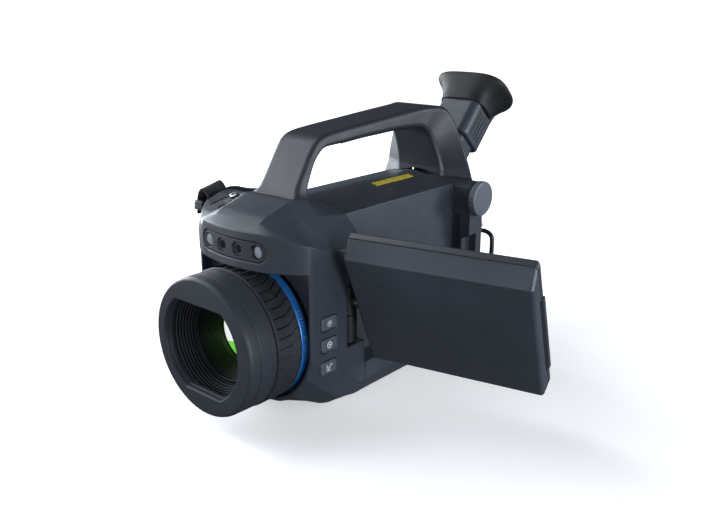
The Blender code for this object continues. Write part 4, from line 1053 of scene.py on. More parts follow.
# flared foot where the front leg runs into the brow: height, spread in x, spread in y
foot = []
for height, spread_x, spread_y in ((-0.6, 1.6, 2.2), (0.6, 0.9, 1.3),
                                   (2.2, 0.35, 0.5), (4.0, 0.05, 0.1)):
    ring = [a + (b - a) * (height / 7.5) for a, b in zip(rings[0], rings[1])]
    mid_y = (sum(ring, Vector()) / len(ring)).y
    foot.append([Vector((p.x + spread_x * (1 if p.x > 0 else -1) * min(1, abs(p.x) / 15),
                         p.y + spread_y * max(-1, min(1, (p.y - mid_y) / 4.0)), p.z))
                 for p in ring])
columns = list(zip(*rings[1:]))
smooth_rings = [[spline(column, i, k / 5) for column in columns]
                for i in range(len(rings) - 2) for k in range(5)]
handle = raw("carry_handle", loft(foot + smooth_rings + [rings[-1]]))
deck_line = [(x, deck_z(x) + 0.05) for x in (-70, -39.3, -6, 0, 6, 39.3, 70)]
cut(handle,
    box(-18.6, 18.6, 113.0, 140, 110, 160.0),
    prism([(-70, 90)] + deck_line + [(70, 90)], along_y, 60, 135),
    rod(PIVOT, X_AXIS, 14.2, 20.0, 62.0, 64))
finish(handle, "handle", "housing", "top_handle", 28)

# grip pad under the handle, with shallow cross ribs
GRIP_LINE = [(-4.0, 185.55), (20.0, 187.0), (56.0, 188.0), (76.0, 187.35)]     # y, z
GRIP_STEPS = 160


def grip_z(y):
    for (y0, z0), (y1, z1) in zip(GRIP_LINE, GRIP_LINE[1:]):
        if y0 <= y <= y1:
            return z0 + (z1 - z0) * (y - y0) / (y1 - y0)


rings = []
for i in range(GRIP_STEPS + 1):
    y = -4.0 + 80.0 * i / GRIP_STEPS
    rib = 0.22 * (1 if (y % 4.0) < 2.6 else -1)
    z = grip_z(y) - 0.25
    half = [(-12.4, -1.4 - rib), (-13.4, -0.9), (-14.2, 0.6), (-14.2, 1.5)]
    rings.append([(x * 0.99, y, z + dz) for x, dz in half + [(-x, dz) for x, dz in half[::-1]]])
piece("grip_pad", loft(rings), "pad", "tread_rubber", "handle_grip_pad", 25)


# ================= sensor bar =================
BAR_END_R = 6.82
WINDOWS = (-24.6, -8.2, 8.2, 24.6)


def bar_ring(x):
    """Cross section of the bar at x; the front follows the bow of the brow."""
    half_h = 0.08 + math.sqrt(BAR_END_R ** 2 - max(0.0, abs(x) - PILL_ARC_X) ** 2)
    c = min(0.45, half_h * 0.3)
    y = bow_y(x) + 0.7
    low, high = PILL_Z - half_h, PILL_Z + half_h
    return [(x, -99.0, low), (x, y + c, low), (x, y + c * 0.3, low + c * 0.3), (x, y, low + c),
            (x, y, high - c), (x, y + c * 0.3, high - c * 0.3), (x, y + c, high),
            (x, -99.0, high)]


end_x = [PILL_ARC_X + BAR_END_R * math.sin(math.radians(a))
         for a in (88, 80, 70, 60, 50, 40, 30, 20, 10)]
bar_x = [-x for x in end_x] + [-PILL_ARC_X + 49.9 * k / 24 for k in range(25)] + end_x[::-1]
bar = raw("sensor_bar", loft([bar_ring(x) for x in bar_x]))
for x in WINDOWS:
    cut(bar, lathe([(0, -3), (5.6, -3), (5.4, 0.5), (5.08, 0.8), (5.0, 6.5), (0, 6.5)],
                   (x, bow_y(x), PILL_Z), Y_AXIS, 48))
finish(bar, "sensor_bar", "sensor_bar", "sensor_bezel", 30)

# Profiles behind the bar face: radius, depth
WINDOW_R = 3.85
LAMP_RING = [(WINDOW_R, 4.6), (WINDOW_R, 1.2), (4.01, 0.9), (4.6, 0.9), (4.85, 1.15),
             (4.85, 4.6)]
EYE_RING = [(WINDOW_R, 4.6), (WINDOW_R, 0.95), (3.97, 0.75), (4.4, 0.75), (4.55, 0.95),
            (4.55, 4.6)]


def window(x, name, node, lamp):
    """Ring and face of a window in the bar; the two eyes also have a glass centre."""
    centre = (x, bow_y(x) + 0.75, PILL_Z)
    slot = "lamp" if lamp else "dark_lens"
    face, rise = (0.75, 0.45) if lamp else (1.15, 0.05)
    piece(name + "_ring", lathe(LAMP_RING if lamp else EYE_RING, centre, Y_AXIS, 56),
          "control" if lamp else "ring_grey", slot)
    dome = [(0, face)] + [(WINDOW_R * k / 8 - 0.02, face + rise * (k / 8) ** 2)
                          for k in range(1, 9)]
    dome += [(WINDOW_R - 0.02, 4.2), (0, 4.2)]
    piece(name, lathe(dome, centre, Y_AXIS, 56), "lamp" if lamp else "eye_face", slot, node)
    if not lamp:
        piece(name + "_inner", lathe([(0, face - 0.12), (2.75, face - 0.12),
                                      (2.9, face + 0.02), (2.9, face + 0.6), (0, face + 0.6)],
                                     centre, Y_AXIS, 48), "dark_glass", slot)


window(WINDOWS[0], "lamp_right", "sensor_lamp_right", lamp=True)
window(WINDOWS[3], "lamp_left", "sensor_lamp_left", lamp=True)
window(WINDOWS[2], "camera_eye", "visual_camera_lens", lamp=False)
window(WINDOWS[1], "laser_eye", "laser_window", lamp=False)


# ================= lens group: profiles are (radius, y) =================
def hood_opening(growth, n=26):
    """Round opening set a little to -X, cut flat at top and bottom, corners rounded."""
    radius, cx, corner = 38.0 + growth, -2.0, 5.0

    def quarter(limit):
        corner_x = math.sqrt((radius - corner) ** 2 - (limit - corner) ** 2)
        end = math.atan2(limit - corner, corner_x)
        q = [(radius * math.cos(end * k / n), radius * math.sin(end * k / n))
             for k in range(n)]
        for k in range(9):
            a = end + (math.pi / 2 - end) * k / 8
            q.append((corner_x + corner * math.cos(a), limit - corner + corner * math.sin(a)))
        return q + [(corner_x * (1 - k / 10), limit) for k in range(1, 11)]

    top, low = quarter(29.6 + growth), quarter(33.6 + growth)
    points = (top + [(-x, z) for x, z in reversed(top[:-1])] + [(-x, -z) for x, z in low[1:]]
              + [(x, -z) for x, z in reversed(low[1:-1])])
    return [(cx + x, LENS_Z + z) for x, z in points]


HOOD = [
    (27.0, -134.3), (47.6, -134.3), (48.4, -134.12), (49.0, -133.75), (49.5, -133.1),
    (49.85, -132.2), (50.05, -131.0), (50.1, -126.0), (49.95, -125.6), (49.45, -125.4),
    (49.35, -125.1), (49.45, -124.8), (50.0, -124.6), (50.15, -124.2), (50.2, -123.0),
    (50.2, -111.6), (50.05, -111.0), (49.7, -110.7), (43.9, -110.6), (43.9, -118.6),
    (40.6, -118.6), (40.6, -127.5), (27.0, -127.5),
]
# y and growth of the opening through the hood
HOOD_MOUTH = [(-136.0, 1.5), (-134.35, 1.5), (-134.0, 1.05), (-133.5, 0.75), (-132.9, 0.62),
              (-130.6, 0.2), (-130.2, -0.25), (-127.0, -0.3)]
hood = raw("hood", lens_lathe(HOOD))
cut(hood, loft([[(x, y, z) for x, z in hood_opening(growth)] for y, growth in HOOD_MOUTH]))
finish(hood, "hood", "hood", "lens_hood", 30)


def ridges(count, r, r_step, y, y_step, ridge):
    """Repeats a ridge profile, each one narrower and further in."""
    return [(r - k * r_step + dr, y + k * y_step + dy)
            for k in range(count) for dr, dy in ridge]


# stepped ridges narrowing inwards, each with a rounded crest
BAFFLE_RIDGE = [(1.5, 0.02), (0.18, 0.12), (0.03, 0.22), (0, 0.36), (0.02, 0.74),
                (0.16, 0.86), (1.45, 1.0), (1.45, 1.9)]
piece("baffle", lens_lathe(
    [(40.2, -112.6), (40.2, -127.2), (38.9, -127.2), (38.6, -127.0)]
    + ridges(6, 37.5, 0.93, BAFFLE_Y, BAFFLE_PITCH, BAFFLE_RIDGE)
    + [(32.4, -114.75), (32.3, -114.5), (32.3, -112.6)]),
    "baffle", "black_metal", "hood_baffle", 24)
# inner tube: flat ledge in front, then fine rings down to the lens
TUBE_RIDGE = [(0, 0), (-0.06, 0.55), (0.1, 0.68), (0.5, 0.74), (0.5, 1.4), (-0.5, 1.48)]
piece("inner_barrel", lens_lathe(
    [(31.8, -113.2), (31.8, -114.1), (31.6, -114.3), (29.7, -114.3), (29.45, -114.1)]
    + ridges(9, 29.3, 0.72, -113.7, 1.55, TUBE_RIDGE)
    + [(22.9, -99.6), (22.8, -99.4), (22.8, -93.2), (18.4, -88.0), (18.4, -62.5),
       (24.0, -62.5), (24.0, -90.0), (31.8, -96.0)]),
    "tube_in", "black_metal", "inner_lens_barrel", 24)
piece("front_lens", lens_lathe(
    [(22.3 * k / 20, -99.8 + 3.6 * (k / 20) ** 2) for k in range(21)]
    + [(22.3, -93.6), (0, -93.6)], segments=128),
    "germanium", "germanium", "front_lens_element", 40)
piece("outer_barrel", lens_lathe(
    [(40.6, -118.2), (43.5, -118.2), (43.5, -60.6), (24.4, -60.6), (24.4, -70.0),
     (38.0, -74.0), (40.6, -98.0)]),
    "barrel", "black_metal", "lens_barrel", 30)

# focus ring: saw teeth that run straight, then slant
TEETH = 45
TOOTH_PITCH = 360.0 / TEETH
TOOTH_PHASE = 5.84
GRIP_FRONT, GRIP_REAR, GRIP_BORE = -110.2, -88.0, 43.9
TREAD_FRONT, TREAD_BEND, TREAD_REAR = -108.2, -96.5, -89.2
# places within a tooth, crowded round its edge so that it stays crisp
TOOTH_FRACTIONS = (-0.030, -0.012, 0.0, 0.012, 0.030, 0.055, 0.10, 0.16, 0.22, 0.29,
                   0.36, 0.43, 0.50, 0.57, 0.64, 0.71, 0.78, 0.85, 0.91, 0.95)


def tread_angle(y):
    """Angle of a tooth edge at y, in degrees, for the tooth that starts at zero."""
    if y <= TREAD_BEND:
        return 0.3 * (y - TREAD_FRONT) / (TREAD_BEND - TREAD_FRONT)
    return 0.3 + 4.95 * (y - TREAD_BEND) / (TREAD_REAR - TREAD_BEND)


def tooth_depth(f):
    """Depth at fraction f behind the tooth edge: a step in, then a long ramp back out."""
    if f <= 0.0:
        return 0.0
    depth = 1.05 * (1.0 - (f - 0.03) / 0.97 if f > 0.03 else f / 0.03) ** 0.85
    # a narrow relief right under the edge
    if 0.012 <= f <= 0.10:
        depth += 1.3 if f < 0.08 else 0.7
    return depth


def focus_grip():
    # y and drop below the full radius
    stations = [(GRIP_FRONT, 1.3), (-110.1, 0.75), (-109.85, 0.3), (-109.5, 0.05),
                (-109.0, 0.0), (TREAD_FRONT - 0.02, 0.0)]
    stations += [(TREAD_FRONT + 0.12 + 0.6 * k, 0.0) for k in range(31)]
    stations += [(TREAD_REAR - 0.1, 0.0), (TREAD_REAR + 0.1, 0.0), (-88.6, 0.02),
                 (-88.3, 0.12), (-88.1, 0.3), (GRIP_REAR, 0.6)]
    places = [(k, f) for k in range(TEETH) for f in TOOTH_FRACTIONS]
    count = len(places)
    # tooth fractions run against the angle, so faces follow the sorted order
    order = sorted(range(count), key=lambda i: places[i][0] - places[i][1])
    shape = bmesh.new()

    def vertex(radius, y, a):
        return shape.verts.new((radius * math.cos(a), y, LENS_Z + radius * math.sin(a)))

    rows = []
    for y, drop in stations:
        on_tread = TREAD_FRONT <= y <= TREAD_REAR
        lead = tread_angle(max(TREAD_FRONT, y))
        row = [vertex(FOCUS_R - drop - (tooth_depth(f) if on_tread else 0.0), y,
                      math.radians((k - f) * TOOTH_PITCH + lead + TOOTH_PHASE))
               for k, f in places]
        rows.append([row[i] for i in order])
    bore = [math.radians((places[i][0] - places[i][1]) * TOOTH_PITCH + TOOTH_PHASE)
            for i in order]
    for y, lead in ((GRIP_REAR, tread_angle(GRIP_REAR)), (GRIP_FRONT, 0.0)):
        rows.append([vertex(GRIP_BORE, y, a + math.radians(lead)) for a in bore])
    for a, b in zip(rows, rows[1:] + rows[:1]):
        for k in range(count):
            j = (k + 1) % count
            shape.faces.new((a[k], a[j], b[j], b[k]))
    return shape


piece("focus_grip", focus_grip(), "tread", "tread_rubber", "focus_ring", 30,
      body="focus_ring", weighted=False)
piece("index_ring", lens_lathe(
    [(43.9, -87.6), (49.8, -87.6), (50.15, -87.45), (50.35, -87.1), (50.4, -86.7),
     (50.4, -82.1), (50.3, -81.7), (50.0, -81.4), (43.9, -81.2)]),
    "blue", "blue_ring", "blue_index_ring", 30)
piece("mount_ring", lens_lathe(
    [(43.9, -80.8), (46.4, -80.8), (46.9, -80.6), (48.0, -80.0), (48.2, -79.6),
     (48.2, -62.0), (43.9, -62.0)]),
    "barrel", "black_metal", "lens_mount", 30)

# ================= side keys with generic symbols =================
KEY_TOP_X = 57.7
# x, half width, half height, radius
KEY_ROWS = [(53.9, 7.7, 4.7, 2.2), (56.9, 7.7, 4.7, 2.2), (57.25, 7.62, 4.62, 2.15),
            (57.5, 7.42, 4.42, 2.0), (57.66, 7.1, 4.1, 1.8), (KEY_TOP_X, 6.6, 3.6, 1.5)]
for node, y, z in SIDE_KEYS:
    piece(node.replace("button", "side_key"), stack(along_x, KEY_ROWS, 8, y, z),
          "key", "key_grey", node, 40, body=node)


def strip(start, end, width):
    """Thin printed bar between two (y, z) points."""
    start, end = Vector(start), Vector(end)
    along = (end - start).normalized()
    side = Vector((-along.y, along.x)) * width / 2
    outline = [tuple(start - side), tuple(end - side), tuple(end + side), tuple(start + side)]
    return prism(outline, along_x, KEY_TOP_X, KEY_TOP_X + 0.06)


def dot(r, y, z):
    return prism(circle(r, 20, y, z), along_x, KEY_TOP_X, KEY_TOP_X + 0.08)


def light_symbol(y, z):
    """Dot with eight rays."""
    turns = [math.pi * k / 4 for k in range(8)]
    return [dot(0.85, y, z)] + [strip((y + 1.35 * math.cos(a), z + 1.35 * math.sin(a)),
                                      (y + 2.7 * math.cos(a), z + 2.7 * math.sin(a)), 0.5)
                                for a in turns]


def preset_symbol(y, z):
    """Ring round a dot."""
    ring = [[(x, u, v) for u, v in circle(r, 40, y, z)]
            for x, r in ((KEY_TOP_X, 2.5), (KEY_TOP_X + 0.08, 2.5),
                         (KEY_TOP_X + 0.08, 1.85), (KEY_TOP_X, 1.85))]
    return [loft(ring, closed=True), dot(0.85, y, z)]


def measure_symbol(y, z):
    """Three bars on a base line, and a dot."""
    bars = [strip((y + dy, z - 1.9), (y + dy, z + top), 0.6)
            for dy, top in ((-2.2, 2.3), (-0.7, 0.6), (0.8, 1.6))]
    base = strip((y + 1.5, z - 2.5), (y - 2.7, z - 2.5), 0.42)
    return bars + [base, dot(0.65, y + 2.3, z + 1.7)]


for symbol, (node, y, z) in zip((light_symbol, preset_symbol, measure_symbol), SIDE_KEYS):
    piece(node.replace("button", "symbol"), merge(symbol(y, z)), "mark_white", "key_grey",
          smooth=30, body=node, weighted=False)

# ================= thumb controls =================
piece("record_key", lathe([(0, -3.3), (3.4, -3.3), (3.4, 0.9), (3.3, 1.2), (3.05, 1.45),
                           (2.6, 1.58), (1.6, 1.5), (0, 1.35)],
                          record_centre, SHOULDER_NORMAL, 56),
      "chrome", "bright_metal", "record_button", 40, body="record_button")
# rocker: dished along its length, fine ripples, round ends
rings = []
for k in range(25):
    v = -6.0 + 12.0 * k / 24
    ripple = 0.10 * math.cos(v * 2 * math.pi / 1.2) if abs(v) < 5 else 0
    top = 0.3 + 1.3 * (v / 6.0) ** 2 + ripple
    w = max(0.9, 3.1 * math.sqrt(1 - (max(0.0, abs(v) - 3.2) / 2.9) ** 2))
    half = [(-w, -3.4 + 0.3 * abs(v)), (-w, top - 0.7), (-w + min(0.3, w * 0.3), top - 0.25),
            (-w + min(0.9, w * 0.6), top)]
    rings.append([on_shoulder(ROCKER_UV[0] + a, ROCKER_UV[1] + v, b)
                  for a, b in half + [(-a, b) for a, b in half[::-1]]])
piece("zoom_lever", loft(rings), "control", "control_black", "zoom_rocker", 40,
      body="zoom_rocker")

# ================= screen hinge and fold-out screen =================
dup("hinge_bracket", "hinge_block", "hinge", "hinge_metal", 0.4)
piece("hinge_rod", rod((HINGE_X, HINGE_Y, 0), Z_AXIS, 2.4, 48.4, 107.6, 40, 0.4),
      "steel", "steel", "hinge_pin", 30)
dup("hinge_knuckle", "hinge_barrel", "hinge", "hinge_metal", 0.3, body="screen_arm")
dup("screen_tilt_shaft", "tilt_shaft", "steel", "steel", body="screen_arm")

# The screen is drawn folded flat along +Y, then tilted and swung out to its resting place
to_hinge = Matrix.Translation(Vector((HINGE_X, HINGE_Y, 0)))
from_hinge = Matrix.Translation(-Vector((HINGE_X, HINGE_Y, 0)))
screen_pose = (to_hinge @ Matrix.Rotation(math.radians(-SWING_REST), 4, 'Z') @ from_hinge
               @ Matrix.Translation(Vector((HINGE_X, 0, TILT_Z)))
               @ Matrix.Rotation(math.radians(TILT_REST), 4, 'Y')
               @ Matrix.Translation(-Vector((HINGE_X, 0, TILT_Z))))


def carried(shape):
    bmesh.ops.transform(shape, matrix=screen_pose, verts=shape.verts)
    return shape


def tilt_bore():
    """Hole for the tilt shaft, along the swung-out screen."""
    a = math.radians(90 - SWING_REST)
    return rod((HINGE_X, HINGE_Y, TILT_Z), (math.cos(a), math.sin(a), 0), 4.35, 0, 26.0, 40)


def panel(outline, small, end=1.6):
    """Slab from one end of the screen to the other, its ends drawn in to a smaller outline."""
    return carried(loft([[(x, y, z) for x, z in points] for y, points in (
        (SCREEN_Y0, small), (SCREEN_Y0 + end, outline),
        (SCREEN_Y1 - end, outline), (SCREEN_Y1, small))]))


SCREEN_Y0, SCREEN_Y1 = -25.2, 104.9
# x, z outlines
COVER = [(57.2, 31.3), (57.2, 128.8), (56.6, 129.6), (47.7, 137.7), (46.0, 138.8),
         (46.0, 30.3), (56.2, 30.3)]
COVER_END = [(55.8, 32.4), (55.8, 128.0), (55.2, 128.6), (47.4, 136.0), (46.0, 137.0),
             (46.0, 31.6), (55.0, 31.6)]
BEZEL = [(45.7, 30.3), (45.7, 138.9), (41.6, 140.1), (40.6, 139.4), (40.0, 138.2),
         (40.0, 31.3), (41.0, 30.3)]
BEZEL_END = [(45.7, 31.4), (45.7, 137.2), (42.0, 138.4), (41.6, 137.8), (41.2, 137.0),
             (41.2, 32.4), (42.0, 31.4)]
SOFT_KEY_Z = 36.2
SOFT_KEY_Y = [8.0 + 16.0 * k for k in range(5)]

cover = raw("screen_cover", panel(COVER, COVER_END))
bevel(cover, 0.55, segments=3, angle=24)
cut(cover,
    carried(box(44, 54.4, SCREEN_Y0 + 22, SCREEN_Y1 - 5, 35, 124.5)),
    tilt_bore(),
    # finger groove on the free end, long and shallow
    carried(stack(along_y, ((SCREEN_Y1 + 1.0, 1.5, 34.0, 1.45),
                            (SCREEN_Y1 - 1.2, 1.1, 33.4, 1.05)), 6, 47.0, 78.0)))
finish(cover, "cover", "screen_cover", "screen_back_cover", 26, body="screen")

bezel = raw("screen_frame", panel(BEZEL, BEZEL_END))
bevel(bezel, 0.5, segments=3, angle=24)
# low ridge on the free end
cut(bezel, carried(stack(along_y, ((SCREEN_Y1 - 2.5, 2.05, 32.5, 1.2),
                                   (SCREEN_Y1 + 0.8, 2.05, 32.5, 1.2),
                                   (SCREEN_Y1 + 1.2, 1.6, 32.5, 0.9)), 4, 42.95, 78.5)),
    operation="UNION")
cut(bezel,
    carried(box(38, 42.3, SCREEN_Y0 + 9, SCREEN_Y1 - 9, 42, 124)),
    tilt_bore(),
    carried(box(38, 48, SCREEN_Y0 + 14, SCREEN_Y1 - 13, 47, 119)))
for y in SOFT_KEY_Y:
    cut(bezel, carried(prism(round_rect(6.0, 1.9, 1.8, 6, y, SOFT_KEY_Z),
                             along_x, 39.0, 40.35)))
finish(bezel, "frame", "screen_frame", "screen_bezel", 26, body="screen")
for k, y in enumerate(SOFT_KEY_Y):
    piece("soft_key_%d" % (k + 1),
          carried(stack(along_x, ((40.7, 5.7, 1.6, 1.52), (40.2, 5.7, 1.6, 1.52),
                                  (40.02, 5.4, 1.3, 1.235)), 6, y, SOFT_KEY_Z)),
          "key", "key_grey", smooth=40, body="screen")
dup("screen_glass", "display_glass", "panel_glass", "screen_glass", 0.2, body="screen")
dup("display_module", "display_unit", "inner", "inner_metal", 0.3, body="screen")
for name, offset in (("lower", -8.1), ("upper", 8.1)):
    piece("cap_screw_" + name,
          carried(lathe([(0, 30.15), (1.5, 30.15), (1.6, 30.3), (1.6, 30.9), (0, 30.9)],
                        (51.5, SCREEN_Y0 + 16 + offset, 0), Z_AXIS, 32)),
          "steel", "steel", smooth=30, body="screen")

# ================= viewfinder =================
rise = math.radians(VIEWFINDER_RISE)
VF_AXIS = Vector((0, math.cos(rise), math.sin(rise)))
VF_UP = Vector((0, -math.sin(rise), math.cos(rise)))
VF_ORIGIN = PIVOT - VF_UP * VIEWFINDER_DROP


def vf(u, v, t):
    """Placer about the viewfinder's axis: u across, v up, t towards the eye."""
    return VF_ORIGIN + Vector((u, 0, 0)) + VF_UP * v + VF_AXIS * t


# distance, half width, half height, radius
ARM = [(2.0, 13.0, 8.0, 5.0), (8.0, 15.0, 11.2, 5.6), (14.0, 16.4, 13.6, 6.0),
       (22.0, 16.8, 14.2, 6.6), (30.0, 17.0, 14.5, 7.0), (66.0, 17.0, 14.5, 7.0)]
SLEEVE = [(57.0, 19.3, 17.1, 7.8), (57.5, 19.9, 17.7, 7.9), (58.4, 20.4, 18.2, 8.0),
          (70.0, 20.4, 18.2, 8.0), (88.0, 20.4, 18.4, 8.0), (94.0, 20.9, 18.9, 8.4),
          (99.0, 21.6, 19.6, 9.0)]
arm = raw("viewfinder_tube", stack(vf, ARM, 10))
cut(arm, rod(PIVOT, X_AXIS, 11.6, -18.0, 18.0, 72), operation="UNION")
cut(arm,
    rod(PIVOT, X_AXIS, 4.3, -26, 26, 40),
    prism(round_rect(11, 9.5, 4, 2), vf, 24.0, 70.0))
finish(arm, "body", "housing", "viewfinder_arm", 30, body="viewfinder")
sleeve = raw("viewfinder_collar", stack(vf, SLEEVE, 10))
cut(sleeve,
    prism(round_rect(17.4, 14.9, 7.2, 4), vf, 50.0, 66.6),
    prism(round_rect(13, 12, 6, 3), vf, 60.0, 104.0))
# four grooves along each side
for k in range(4):
    groove = round_rect(0.75, 11.5, 0.7, 3, -6.6 + k * 4.4, 73.0)
    for x0, x1 in ((-22.7, -19.7), (19.7, 22.7)):
        cut(sleeve, prism(groove, lambda v, s, x: vf(x, v, s), x0, x1))
finish(sleeve, "body", "housing", "viewfinder_sleeve", 30, body="viewfinder")

# distance, half width, height above and below the axis: up the outside, over the lip, in
CUP = [
    (89.0, 22.6, 20.6, 20.6), (89.3, 23.0, 21.0, 21.0), (91.5, 23.2, 21.2, 21.2),
    (94.0, 23.6, 21.6, 21.6), (99.6, 26.2, 23.0, 24.0), (102.8, 28.6, 24.2, 25.4),
    (105.8, 31.2, 25.4, 26.8), (109.0, 34.6, 26.7, 28.7), (110.6, 35.8, 27.3, 29.4),
    (111.6, 36.0, 27.4, 29.5), (112.4, 35.9, 27.3, 29.4), (112.9, 35.5, 27.0, 29.1),
    (113.0, 34.9, 26.6, 28.7), (112.9, 34.0, 26.0, 28.0), (112.4, 33.0, 25.2, 27.2),
    (111.4, 31.8, 24.4, 26.2), (109.6, 29.4, 23.0, 24.4), (107.0, 26.6, 21.8, 22.6),
    (104.0, 24.2, 20.8, 21.2), (101.0, 22.4, 20.0, 20.4), (100.2, 19.0, 17.2, 17.4),
    (99.8, 15.4, 14.0, 14.0), (99.4, 14.6, 13.2, 13.2),
]
CUP_SEAT = [(99.4, 21.9, 19.9), (89.0, 20.8, 18.8)]     # distance, half width, half height
CUP_TURNS = [2 * math.pi * k / 112 for k in range(112)]


def bent(value, power):
    """Power that keeps the sign."""
    return math.copysign(abs(value) ** power, value)


def cup_ring(t, half_w, top, low):
    """D-like outline: squarer above the axis than below."""
    ring = []
    for a in CUP_TURNS:
        c, s = math.cos(a), math.sin(a)
        if s > 0:
            ring.append(vf(half_w * bent(c, 0.62), top * bent(s, 0.55), t))
        else:
            ring.append(vf(half_w * bent(c, 0.92), low * bent(s, 0.95), t))
    return ring


rings = [cup_ring(*row) for row in CUP]
rings += [[vf(half_w * bent(math.cos(a), 0.5), half_h * bent(math.sin(a), 0.5), t)
           for a in CUP_TURNS] for t, half_w, half_h in CUP_SEAT]
piece("eye_cup", loft(rings, closed=True), "cup", "tread_rubber", "eyecup", 50,
      body="viewfinder", weighted=False)
piece("eye_lens", lathe([(0, 90.0), (11.6, 90.0), (11.6, 94.0), (9.5, 94.8), (6, 95.4),
                         (3, 95.7), (0, 95.8)], VF_ORIGIN, VF_AXIS, 64),
      "dark_glass", "dark_lens", "eyepiece_lens", 40, body="viewfinder")
piece("pivot_rod", rod(PIVOT, X_AXIS, 3.9, -25.0, 60.6, 40, 0.4),
      "steel", "steel", "viewfinder_pivot_shaft", 30)

# radius, x; the two rows at the full radius carry the knurl
KNOB = [(4.3, 57.5), (13.6, 57.5), (14.3, 58.0), (14.5, 58.5), (14.5, 62.4), (14.35, 62.9),
        (13.9, 63.3), (13.2, 63.5), (12.6, 63.52), (12.4, 63.36), (12.2, 63.36),
        (12.0, 63.6), (6.0, 63.82)]
KNOB_R = 14.5
KNOB_STEPS = 48 * 8         # 48 grooves, eight steps to each
BORE_R, BORE_X = 4.3, 61.0


def knurled_knob():
    """Knob with a grooved rim and a blind bore on its inner face."""
    shape = bmesh.new()

    def ring(radius, x):
        row = []
        for k in range(KNOB_STEPS):
            a = 2 * math.pi * k / KNOB_STEPS
            r = radius - 0.42 if radius == KNOB_R and k % 8 < 3 else radius
            row.append(shape.verts.new(PIVOT + Vector((x, r * math.cos(a), r * math.sin(a)))))
        return row

    rows = [ring(*row) for row in KNOB]
    tip = shape.verts.new(PIVOT + Vector((63.9, 0, 0)))
    bore_centre = shape.verts.new(PIVOT + Vector((BORE_X, 0, 0)))
    bore = ring(BORE_R, BORE_X)
    following = [(k, (k + 1) % KNOB_STEPS) for k in range(KNOB_STEPS)]
    for a, b in zip(rows, rows[1:]):
        for k, j in following:
            shape.faces.new((a[k], a[j], b[j], b[k]))
    for k, j in following:
        shape.faces.new((rows[-1][k], rows[-1][j], tip))
    for k, j in following:
        shape.faces.new((bore[k], bore[j], rows[0][j], rows[0][k]))
        shape.faces.new((bore_centre, bore[j], bore[k]))
    return shape


piece("side_knob", knurled_knob(), "knob", "knob", "viewfinder_knob", 30,
      body="viewfinder_knob", weighted=False)

# ================= inside =================
dup("detector_module", "detector_unit", "inner", "inner_metal", 0.3)
dup("stirling_cooler", "cooler_unit", "inner", "inner_metal", 0.3)
dup("main_circuit_board", "circuit_board", "board", "board")
dup("battery_pack", "battery_block", "battery", "battery", 0.6)

# ================= rear, base and -X side =================
door = raw("battery_cover", stack(along_y, (
    (122.3, 33.5, 41.2, 3.0), (125.3, 33.5, 41.2, 3.0), (125.8, 33.3, 41.0, 2.8),
    (126.0, 32.9, 40.6, 2.5)), 8, 0, 49.0))
for k in range(5):
    cut(door, prism(round_rect(16.0, 0.8, 0.75, 4, 0, 62.0 - k * 4.0), along_y, 125.3, 127.0))
finish(door, "body", "housing", "battery_door", 30, body="battery_door")
latch = raw("battery_slide", stack(along_y, (
    (126.3, 9.0, 4.0, 1.6), (127.6, 9.0, 4.0, 1.6), (128.1, 8.7, 3.7, 1.6),
    (128.4, 8.2, 3.2, 1.6)), 6, 0, 82.0))
for k in range(4):
    cut(latch, box(-6.5, 6.5, 128.0, 129.5, 79.6 + k * 1.5, 80.2 + k * 1.5))
finish(latch, "control", "control_black", "battery_latch", 30, body="battery_latch")
for name, x, z, r in REAR_KEYS:
    node = name + "_button"
    piece(name + "_key", lathe([(0, 124.0), (r, 124.0), (r, 126.8), (r - 0.12, 127.15),
                                (r - 0.5, 127.4), (r * 0.6, 127.32), (0, 127.2)],
                               (x, 0, z), Y_AXIS, 56),
          "key", "key_grey", node, 40, body=node)
piece("side_service_cover", stack(along_x, (
    (-55.5, 41.6, 32.6, 4.8), (-56.7, 41.6, 32.6, 4.8), (-57.0, 41.4, 32.4, 4.6),
    (-57.1, 41.0, 32.0, 4.3)), 8, *SIDE_COVER_AT),
    "body", "housing", "right_side_cover", 30)
for k, (y, z) in enumerate([(-14, 59), (58, 59), (-14, 113), (58, 113)]):
    screw = raw("case_screw_%d" % (k + 1), lathe(
        [(0, 57.4), (2.2, 57.4), (2.2, 57.9), (2.0, 58.12), (1.4, 58.2), (0, 58.2)],
        (0, y, z), (-1, 0, 0), 40))
    cut(screw, prism(circle(1.0, 6, y, z), along_x, -59, -57.75))
    finish(screw, "steel", "steel", "cover_screw_%d" % (k + 1), 30)
flap = raw("port_flap", stack(along_x, (
    (-55.6, 26.6, 15.1, 3.8), (-56.6, 26.6, 15.1, 3.8), (-56.9, 26.4, 14.9, 3.6),
    (-57.0, 26.0, 14.5, 3.3)), 8, *FLAP_AT))
for k in range(3):
    cut(flap, prism(round_rect(7.0, 0.6, 0.55, 4, 40, 44.6 - k * 2.0), along_x, -58, -56.6))
finish(flap, "pad", "tread_rubber", "connector_flap", 30, body="connector_flap")
dup("tripod_plate", "tripod_base", "steel", "steel", 0.3)
for node, x in FEET:
    rows = [(z, w, h, w * 0.98) for z, w, h in ((-1.5, 4.4, 41.0), (-1.4, 4.8, 41.4),
                                                (-0.9, 5.3, 41.9), (0.9, 5.4, 42.0))]
    piece(node.replace("foot", "rubber_foot"), stack(along_z, rows, 10, x, FOOT_Y),
          "pad", "tread_rubber", node, 40)
piece("yellow_strip", loft([[(x, y, deck_z(x) + dz) for x, dz in
                             ((8.0, 0.3), (13.6, 0.3), (13.6, 0.6), (8.0, 0.6))]
                            for y in (36.0, 84.0)]),
      "hatch", "marking", "yellow_marking", 30)
BAR_X = 53.0
